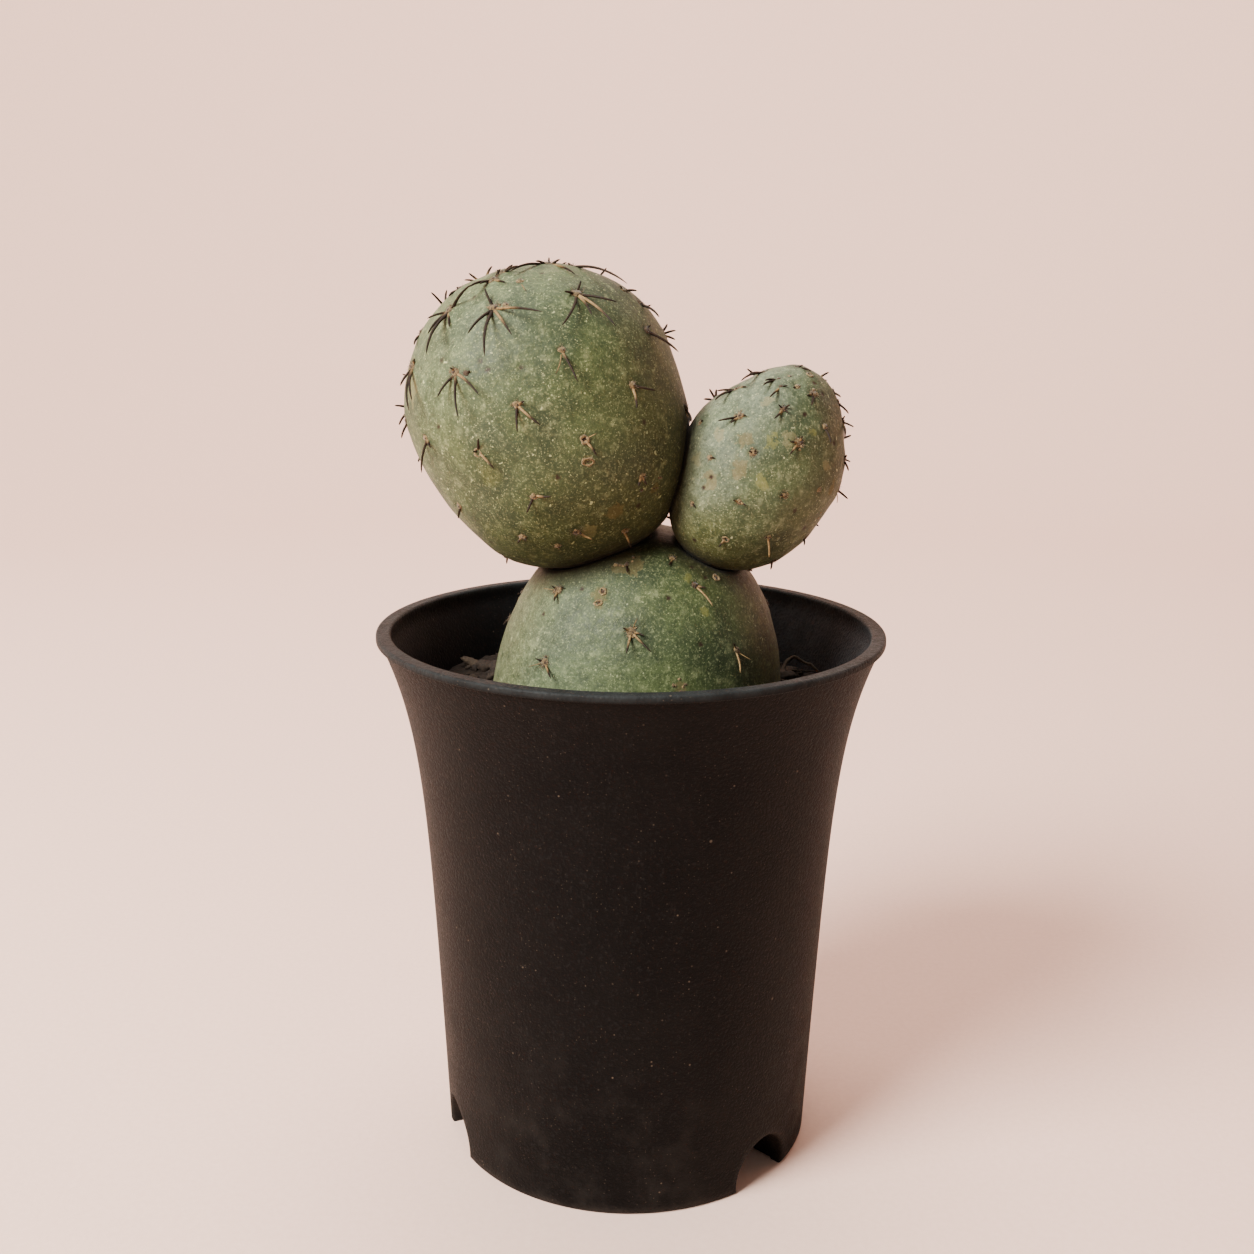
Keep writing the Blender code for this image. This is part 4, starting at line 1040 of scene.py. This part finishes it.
def pot_material():
    made, tree, shader = new_material("pot_moulded_plastic")
    where = place(tree)
    xyz = node(tree, "ShaderNodeSeparateXYZ", {0: where})
    height = calc(tree, "MULTIPLY", xyz.outputs[2], 1000.0)
    broad = cloud(tree, where, 22.0, 3.0, 0.6)
    haze = cloud(tree, where, 6.0, 4.0, 0.65)
    stipple = cloud(tree, where, 0.55, 3.0, 0.6)
    grain = cloud(tree, where, 0.22, 2.0, 0.5)
    colour = mix(tree, span(tree, broad, 0.3, 0.7), (0.0009, 0.0009, 0.0009), (0.0026, 0.0023, 0.0021))
    # a thin film of dust, heavier low down
    low = span(tree, height, 46.0, 2.0, 0.10, 1.0)
    film = calc(tree, "MULTIPLY", low, span(tree, haze, 0.42, 0.78, 0.0, 0.34))
    colour = mix(tree, film, colour, (0.030, 0.025, 0.021))
    # painted light: a lighter blue-grey on the inner wall, strongest on the right side that the key lamp lights
    painted_lit_wall = painted(tree, "painted_lit_wall")
    colour = mix(tree, calc(tree, "MULTIPLY", painted_lit_wall, span(tree, haze, 0.3, 0.7, 0.6, 1.0)), colour, (0.046, 0.049, 0.053))
    # painted reflection: a lighter bluish grey band on the lip, for light from above reflected off its top
    lip = span(tree, height, 94.3, 95.9, 0.0, 1.0)
    colour = mix(tree, calc(tree, "MULTIPLY", lip, span(tree, haze, 0.3, 0.7, 0.35, 0.75)), colour, (0.026, 0.029, 0.029))
    # lighter grains of the stipple: partly a grain tone, partly painted glints
    pebbled_glint = span(tree, stipple, 0.52, 0.70, 0.0, 0.55)
    colour = mix(tree, pebbled_glint, colour, (0.0105, 0.0098, 0.0094))
    # dust flecks
    tiny = dots(tree, where, 0.70, 0.115, 0.42)
    fleck = dots(tree, where, 2.1, 0.20, 0.34)
    big = dots(tree, where, 6.5, 0.30, 0.30)
    dust = calc(tree, "MAXIMUM", calc(tree, "MULTIPLY", tiny, 0.36), calc(tree, "MULTIPLY", fleck, 0.60))
    dust = calc(tree, "MULTIPLY", dust, span(tree, cloud(tree, where, 9.0, 2.0), 0.38, 0.62, 0.35, 1.0))
    dust = calc(tree, "MAXIMUM", dust, calc(tree, "MULTIPLY", big, 0.5))
    colour = mix(tree, dust, colour, (0.125, 0.092, 0.064))
    # thin upright scuffs
    stretch = node(tree, "ShaderNodeMapping", {"Vector": where, "Scale": (1.0, 1.0, 0.16)}).outputs[0]
    scratch = cloud(tree, stretch, 0.7, 1.0, 0.4, 0.4)
    mark = calc(tree, "MULTIPLY", span(tree, scratch, 0.685, 0.72), span(tree, cloud(tree, where, 14.0, 2.0), 0.52, 0.64))
    colour = mix(tree, calc(tree, "MULTIPLY", mark, 0.05), colour, (0.06, 0.05, 0.043))
    worn = painted(tree, "worn")
    colour = mix(tree, calc(tree, "MULTIPLY", worn, span(tree, haze, 0.3, 0.65, 0.2, 1.0)), colour, (0.034, 0.028, 0.024))
    tree.links.new(colour, shader.inputs["Base Color"])
    rough = span(tree, stipple, 0.25, 0.75, 0.46, 0.62)
    rough = calc(tree, "ADD", rough, calc(tree, "MULTIPLY", film, 0.6), clamp=True)
    tree.links.new(rough, shader.inputs["Roughness"])
    first = bump(tree, haze, 0.10, 0.15)
    second = bump(tree, stipple, 0.20, 0.95, first)
    third = bump(tree, calc(tree, "ADD", grain, dust), 0.03, 0.40, second)
    tree.links.new(third, shader.inputs["Normal"])
    set_constants(shader, Specular_IOR_Level=0.07)
    return made


def build_pot():
    points, faces = turned(pot_profile(), 216)
    body = helper_mesh("pot_work", points, faces)
    foot_in = FOOT_RADIUS - FOOT_WIDTH
    helpers = []

    def cut(other, operation):
        step = body.modifiers.new(other.name, "BOOLEAN")
        step.operation = operation
        step.solver = "EXACT"
        step.object = other
        helpers.append(other)

    for i, angle in enumerate(ARCH_ANGLES):
        cut(arch_body(f"lining_{i}", angle, ((foot_in + 0.8, ARCH_WALL, False), (-1.0, ARCH_WALL, True)), 0.3), "UNION")
    for i, angle in enumerate(ARCH_ANGLES):
        mouth = ((foot_in - 3.0, 0.0, False), (foot_in + 0.2, 0.0, False), (-0.75, 0.0, True), (-0.45, 0.06, True),
                 (-0.22, 0.20, True), (-0.06, 0.42, True), (0.06, 0.75, True), (5.0, 0.85, True))
        cut(arch_body(f"tunnel_{i}", angle, mouth), "DIFFERENCE")
    for i in range(DRAIN_COUNT + 1):
        turn = math.tau * (i - 1) / DRAIN_COUNT + math.radians(12)
        reach = DRAIN_CIRCLE if i else 0.0
        centre = np.array((reach * math.cos(turn), reach * math.sin(turn), 0.0))
        drain, sides = turned([(0, 13.0), (DRAIN_RADIUS + 0.9, 13.0), (DRAIN_RADIUS + 0.35, 11.05), (DRAIN_RADIUS, 10.7),
                               (DRAIN_RADIUS, 9.3), (DRAIN_RADIUS + 0.35, 8.95), (DRAIN_RADIUS + 0.9, 7.0), (0, 7.0)], 32)
        cut(helper_mesh(f"drain_{i}", drain + centre, sides), "DIFFERENCE")
    bpy.context.view_layer.update()
    graph = bpy.context.evaluated_depsgraph_get()
    mesh = bpy.data.meshes.new_from_object(body.evaluated_get(graph))
    for other in helpers + [body]:
        bpy.data.objects.remove(other, do_unlink=True)
    mesh.name = "pot_shell"
    co = np.empty(len(mesh.vertices) * 3)
    mesh.vertices.foreach_get("co", co)
    co = co.reshape(-1, 3) / MM
    worn = np.zeros(len(co))
    for angle in ARCH_ANGLES:
        turn = math.radians(angle)
        out = np.array((math.sin(turn), -math.cos(turn)))
        side = co[:, :2] @ np.array((math.cos(turn), math.sin(turn)))
        front = co[:, :2] @ out > 20
        edge = np.abs(np.hypot(side / ARCH_HALF_WIDTH, (co[:, 2] - ARCH_CENTRE) / (ARCH_HEIGHT - ARCH_CENTRE)) - 1.0)
        worn = np.maximum(worn, np.where(front, smoothstep(0.25, 0.02, edge), 0.0) * 0.5)
    worn = np.maximum(worn, 0.6 * smoothstep(2.2, 0.2, co[:, 2]))
    reach = np.hypot(co[:, 0], co[:, 1])
    # painted light: the inner wall above the soil is made lighter, mostly on the right side, which the key lamp lights
    painted_lit_wall = smoothstep(73.0, 84.0, co[:, 2]) * (reach < np.minimum(inner_radius(co[:, 2]) + 0.3, RIM_RADIUS - LIP_WIDTH + 0.2))
    across = co[:, 0] / np.maximum(reach, 1.0)
    painted_lit_wall = painted_lit_wall * (0.08 + 0.92 * smoothstep(0.05, 0.5, across) * (1 - 0.55 * smoothstep(0.7, 1.0, across)))
    for key, values in (("worn", worn), ("painted_lit_wall", painted_lit_wall)):
        layer = mesh.attributes.new(key, "FLOAT", "POINT")
        layer.data.foreach_set("value", values.astype(np.float32))
    mesh.materials.clear()
    mesh.materials.append(pot_material())
    mesh.polygons.foreach_set("use_smooth", [True] * len(mesh.polygons))
    mesh.set_sharp_from_angle(angle=math.radians(40))
    made = bpy.data.objects.new("pot_shell", mesh)
    bpy.context.scene.collection.objects.link(made)
    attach(made, "root")
    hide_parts("pot")
    return made


# ------------------------------------------------------------------ soil
def soil_material():
    made, tree, shader = new_material("potting_mix")
    where = place(tree)
    clod = cloud(tree, where, 3.0, 4.0, 0.65)
    crumb = cloud(tree, where, 0.8, 4.0, 0.7)
    colour = mix(tree, span(tree, crumb, 0.3, 0.7), (0.004, 0.0025, 0.0018), (0.016, 0.010, 0.0065))
    colour = mix(tree, span(tree, clod, 0.4, 0.7, 0.0, 0.6), colour, (0.021, 0.014, 0.009))
    grit = dots(tree, where, 1.6, 0.26, 0.22)
    colour = mix(tree, calc(tree, "MULTIPLY", grit, 0.75), colour, (0.085, 0.062, 0.042))
    tree.links.new(colour, shader.inputs["Base Color"])
    tree.links.new(span(tree, crumb, 0.2, 0.8, 0.82, 1.0), shader.inputs["Roughness"])
    first = bump(tree, clod, 0.6, 0.5)
    tree.links.new(bump(tree, crumb, 0.25, 0.8, first), shader.inputs["Normal"])
    set_constants(shader, Specular_IOR_Level=0.15)
    return made


def crumb_material():
    made, tree, shader = new_material("bark_and_crumbs")
    tone, where = painted(tree, "tone"), place(tree)
    fine = cloud(tree, where, 0.5, 4.0, 0.7)
    dark = mix(tree, span(tree, fine, 0.3, 0.7), (0.005, 0.003, 0.002), (0.018, 0.011, 0.007))
    pale = mix(tree, span(tree, fine, 0.3, 0.7), (0.034, 0.022, 0.014), (0.095, 0.066, 0.042))
    tree.links.new(mix(tree, tone, dark, pale), shader.inputs["Base Color"])
    tree.links.new(span(tree, fine, 0.2, 0.8, 0.75, 0.98), shader.inputs["Roughness"])
    tree.links.new(bump(tree, fine, 0.15, 0.7), shader.inputs["Normal"])
    set_constants(shader, Specular_IOR_Level=0.2)
    return made


def underside(form, x, y):
    """Height of a joint's lower surface under each place, or far above where there is none."""
    low = np.full(len(x), form["centre"][2] - 1.25 * form["down"])
    high = np.full(len(x), form["centre"][2] - 1.0)
    inside_top = outside(form, np.stack([x, y, high], -1))[0] < 0
    for _ in range(22):
        middle = (low + high) / 2
        within = outside(form, np.stack([x, y, middle], -1))[0] < 0
        high = np.where(within, middle, high)
        low = np.where(within, low, middle)
    return np.where(inside_top, high, 1e3)


def soil_top(x, y):
    r = np.hypot(x, y)
    edge = float(inner_radius(SOIL_LEVEL)) - GAP
    flat = np.stack([x, y, np.zeros_like(x)], -1)
    z = SOIL_LEVEL + SOIL_CROWN * (1 - (r / edge) ** 2)
    z = z + 0.75 * lumps(flat, 6.5, 301, 2) + 0.42 * lumps(flat, 2.2, 302, 2) + 0.16 * lumps(flat, 0.8, 303)
    return z - 0.25 + 0.7 * smoothstep(edge - 3.0, edge, r) * lumps(flat, 4.0, 304)


def build_soil():
    rings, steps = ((70, 220))
    edge = float(inner_radius(SOIL_LEVEL)) - GAP
    turn = np.linspace(0, 2 * math.pi, steps, endpoint=False)
    points, rows = [], []
    for i in range(1, rings + 1):
        r = edge * (i / rings) ** 0.8
        rows.append(np.stack([r * np.sin(turn), -r * np.cos(turn)], -1))
    flat = np.concatenate(rows)
    z = soil_top(flat[:, 0], flat[:, 1])
    z = np.minimum(z, underside(JOINTS["base_joint"], flat[:, 0], flat[:, 1]) - GAP)
    # clear of the root crown under the joint
    core = np.hypot(flat[:, 0], flat[:, 1])
    z = np.where(core < 7.2, np.minimum(z, 56.2 - 28.0 * smoothstep(7.2, 4.8, core)), z)
    points.append(np.column_stack([flat, z]))
    side = []
    for i in range(1, 15):
        h = SOIL_LEVEL + (PLATE_TOP + 1.0 + GAP - SOIL_LEVEL) * (i / 14) ** 1.6
        side.append((float(inner_radius(h)) - GAP - 0.1, h))
    side.append((float(inner_radius(PLATE_TOP)) - 1.1 - GAP, PLATE_TOP + GAP))
    for r, h in side:
        points.append(np.stack([r * np.sin(turn), -r * np.cos(turn), np.full(steps, h)], -1))
    points.append(np.array([[0, 0, float(z[:steps].mean())], [0, 0, PLATE_TOP + GAP]]))
    points = np.concatenate(points)
    count = rings + len(side)
    faces = []
    for i in range(count - 1):
        for j in range(steps):
            k = (j + 1) % steps
            faces.append((i * steps + j, (i + 1) * steps + j, (i + 1) * steps + k, i * steps + k))
    for j in range(steps):
        k = (j + 1) % steps
        faces.append((count * steps, j, k))
        faces.append((count * steps + 1, (count - 1) * steps + k, (count - 1) * steps + j))
    made = piece("soil_plug", points, faces, [soil_material()])
    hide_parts("soil")

    rng = np.random.default_rng(55)
    soup = Soup()
    form = JOINTS["base_joint"]
    placed = 0
    while placed < (620):
        r, a = edge * math.sqrt(rng.uniform(0.28, 0.985)), rng.uniform(0, 2 * math.pi)
        x, y = r * math.sin(a), -r * math.cos(a)
        size = float(np.clip(rng.lognormal(-0.35, 0.55), 0.25, 2.3))
        if r + size > edge - 0.2:
            continue
        ground = float(soil_top(np.array([x]), np.array([y]))[0])
        spot = np.array((x, y, ground + 0.15 * size))
        if outside(form, spot[None, :])[0][0] < 0.25 + 0.5 * size:
            continue
        placed += 1
        flat_turn = rng.normal(0, 0.5, 3)
        out = unit(np.array((flat_turn[0] * 0.5, flat_turn[1] * 0.5, 1.0)))
        axes = frame_of(out)
        spin = rng.uniform(0, math.pi)
        axes = (math.cos(spin) * axes[0] + math.sin(spin) * axes[1], -math.sin(spin) * axes[0] + math.cos(spin) * axes[1], out)
        tone = float(np.clip(rng.normal(0.18, 0.22), 0, 1))
        lump(soup, spot, axes, (size * rng.uniform(0.7, 1.3), size * rng.uniform(0.45, 0.9), size * rng.uniform(0.3, 0.65)),
             tone, 0, rng, 0.45, ball=BALL if size > 0.9 else PEBBLE)
    for _ in range(46):
        r, a = edge * math.sqrt(rng.uniform(0.45, 0.93)), rng.uniform(0, 2 * math.pi)
        x, y, way = r * math.sin(a), -r * math.cos(a), rng.uniform(0, 2 * math.pi)
        long = rng.uniform(2.0, 6.5)
        t = np.linspace(-0.5, 0.5, 9)
        bend = rng.normal(0, 0.25)
        px = x + long * (t * math.cos(way) - bend * t * t * 2 * math.sin(way))
        py = y + long * (t * math.sin(way) + bend * t * t * 2 * math.cos(way))
        keep = np.hypot(px, py) < edge - 0.6
        if not keep.all():
            continue
        pz = soil_top(px, py) + 0.25 + 0.5 * rng.random() * np.cos(t * math.pi)
        path = np.stack([px, py, pz], -1)
        if outside(form, path)[0].min() < 0.4:
            continue
        thick = rng.uniform(0.07, 0.20) * (1 - 0.5 * np.abs(t))
        taper_tube(soup, path, thick, 5, float(rng.uniform(0.3, 1.0)), 0)
    # a curved dry twig lying against the wall on the right
    t = np.linspace(0, 1, 16)
    px = 28.6 + 7.2 * t - 1.2 * np.sin(t * math.pi)
    py = 12.2 + 1.2 * t + 3.2 * np.sin(t * math.pi)
    pz = soil_top(px, py) + 0.7 + 2.2 * np.sin(t * math.pi * 0.9) ** 1.2
    taper_tube(soup, np.stack([px, py, pz], -1), 0.42 * (1 - 0.45 * t) * (1 + 0.12 * np.sin(t * 23)), 8, 0.75, 0)
    px, py = 30.5 + 4.5 * t, 15.2 - 2.2 * t
    taper_tube(soup, np.stack([px, py, soil_top(px, py) + 0.5 + 1.1 * t], -1), 0.22 * (1 - 0.5 * t), 6, 0.5, 0)
    crumbs = soup.make("soil_crumbs", [crumb_material()])


def root_material():
    made, tree, shader = new_material("root_bark_worn")
    where = place(tree)
    stretch = node(tree, "ShaderNodeMapping", {"Vector": where, "Scale": (1.0, 1.0, 0.35)}).outputs[0]
    fibre = cloud(tree, stretch, 0.9, 5.0, 0.65)
    colour = mix(tree, span(tree, fibre, 0.3, 0.7), (0.10, 0.060, 0.034), (0.27, 0.185, 0.11))
    tree.links.new(colour, shader.inputs["Base Color"])
    tree.links.new(span(tree, fibre, 0.2, 0.8, 0.75, 0.95), shader.inputs["Roughness"])
    tree.links.new(bump(tree, fibre, 0.3, 0.7), shader.inputs["Normal"])
    return made


# ------------------------------------------------------------------ stage, light and camera
def build_stage():
    made, tree, shader = new_material("pale_paper")
    where = place(tree)
    tooth = cloud(tree, where, 1.2, 3.0, 0.6)
    colour = mix(tree, span(tree, tooth, 0.3, 0.7), (0.820, 0.560, 0.450), (0.850, 0.590, 0.480))
    tree.links.new(colour, shader.inputs["Base Color"])
    set_constants(shader, Roughness=0.85, Specular_IOR_Level=0.1)
    flat, curve, top, steps = 700.0, 700.0, 2200.0, 96
    rows = [(1.0, 0.0), (60.0, 0.0), (250.0, 0.0)] + [(flat + curve * math.sin(a), curve * (1 - math.cos(a)))
                                                   for a in np.linspace(0, math.pi / 2, 28)] + [(flat + curve, top)]
    turn = np.linspace(0, 2 * math.pi, steps, endpoint=False)
    # the sweep rises behind the object and lies flat in front of it
    rise = smoothstep(-0.35, 0.45, -np.cos(turn))
    points = np.concatenate([np.stack([(r + (1 - rise) * 0.35 * h) * np.sin(turn), -(r + (1 - rise) * 0.35 * h) * np.cos(turn), h * rise], -1)
                             for r, h in rows] + [np.zeros((1, 3))])
    faces = [(i * steps + j, i * steps + (j + 1) % steps, (i + 1) * steps + (j + 1) % steps, (i + 1) * steps + j)
             for i in range(len(rows) - 1) for j in range(steps)]
    faces += [(len(points) - 1, (j + 1) % steps, j) for j in range(steps)]
    mesh = bpy.data.meshes.new("paper_sweep")
    mesh.from_pydata((points * MM).tolist(), [], faces)
    mesh.materials.append(made)
    mesh.polygons.foreach_set("use_smooth", [True] * len(mesh.polygons))
    sweep = bpy.data.objects.new("paper_sweep", mesh)
    bpy.context.scene.collection.objects.link(sweep)


def area_light(name, place_at, aim, size, power, colour):
    data = bpy.data.lights.new(name, "AREA")
    data.shape = "DISK"
    data.size = size
    data.energy = power
    data.color = colour
    made = bpy.data.objects.new(name, data)
    made.location = place_at
    made.rotation_euler = (Vector(aim) - Vector(place_at)).to_track_quat("-Z", "Y").to_euler()
    bpy.context.scene.collection.objects.link(made)


def build_light():
    area_light("key", (-0.66, -0.53, 0.74), (0.0, 0.0, 0.10), 0.55, 40.0, (1.0, 0.985, 0.955))
    area_light("fill", (0.70, -0.75, 0.50), (0.0, 0.0, 0.08), 0.9, 0.8, (1.0, 0.95, 0.92))
    area_light("back_wash", (0.0, 0.45, 1.35), (0.0, 1.45, 0.35), 0.9, 26.0, (1.0, 0.97, 0.94))
    world = bpy.data.worlds.new("soft_room")
    world.use_nodes = True
    back = world.node_tree.nodes["Background"]
    back.inputs["Color"].default_value = (1.0, 0.90, 0.84, 1.0)
    back.inputs["Strength"].default_value = 0.16
    bpy.context.scene.world = world


def build_camera():
    data = bpy.data.cameras.new("camera")
    data.sensor_width = 36.0
    data.lens = 40.28
    data.clip_start = 0.01
    data.clip_end = 20.0
    made = bpy.data.objects.new("camera", data)
    turn = (Matrix.Rotation(math.radians(0.167), 4, "Z") @ Matrix.Rotation(math.radians(90 - 13.65), 4, "X")
            @ Matrix.Rotation(0.0083, 4, "Z"))
    made.matrix_world = Matrix.Translation((0.0, -0.2439, 0.15485)) @ turn
    bpy.context.scene.collection.objects.link(made)
    bpy.context.scene.camera = made


build_stage()
build_light()
build_camera()
build_pot()
build_soil()
joint_mesh("base_joint", 7, 31)
joint_mesh("large_joint", 7, 41)
joint_mesh("small_joint", 7, 51)
build_spines()
bark = root_material()
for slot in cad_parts["roots"].material_slots:
    slot.material = bark
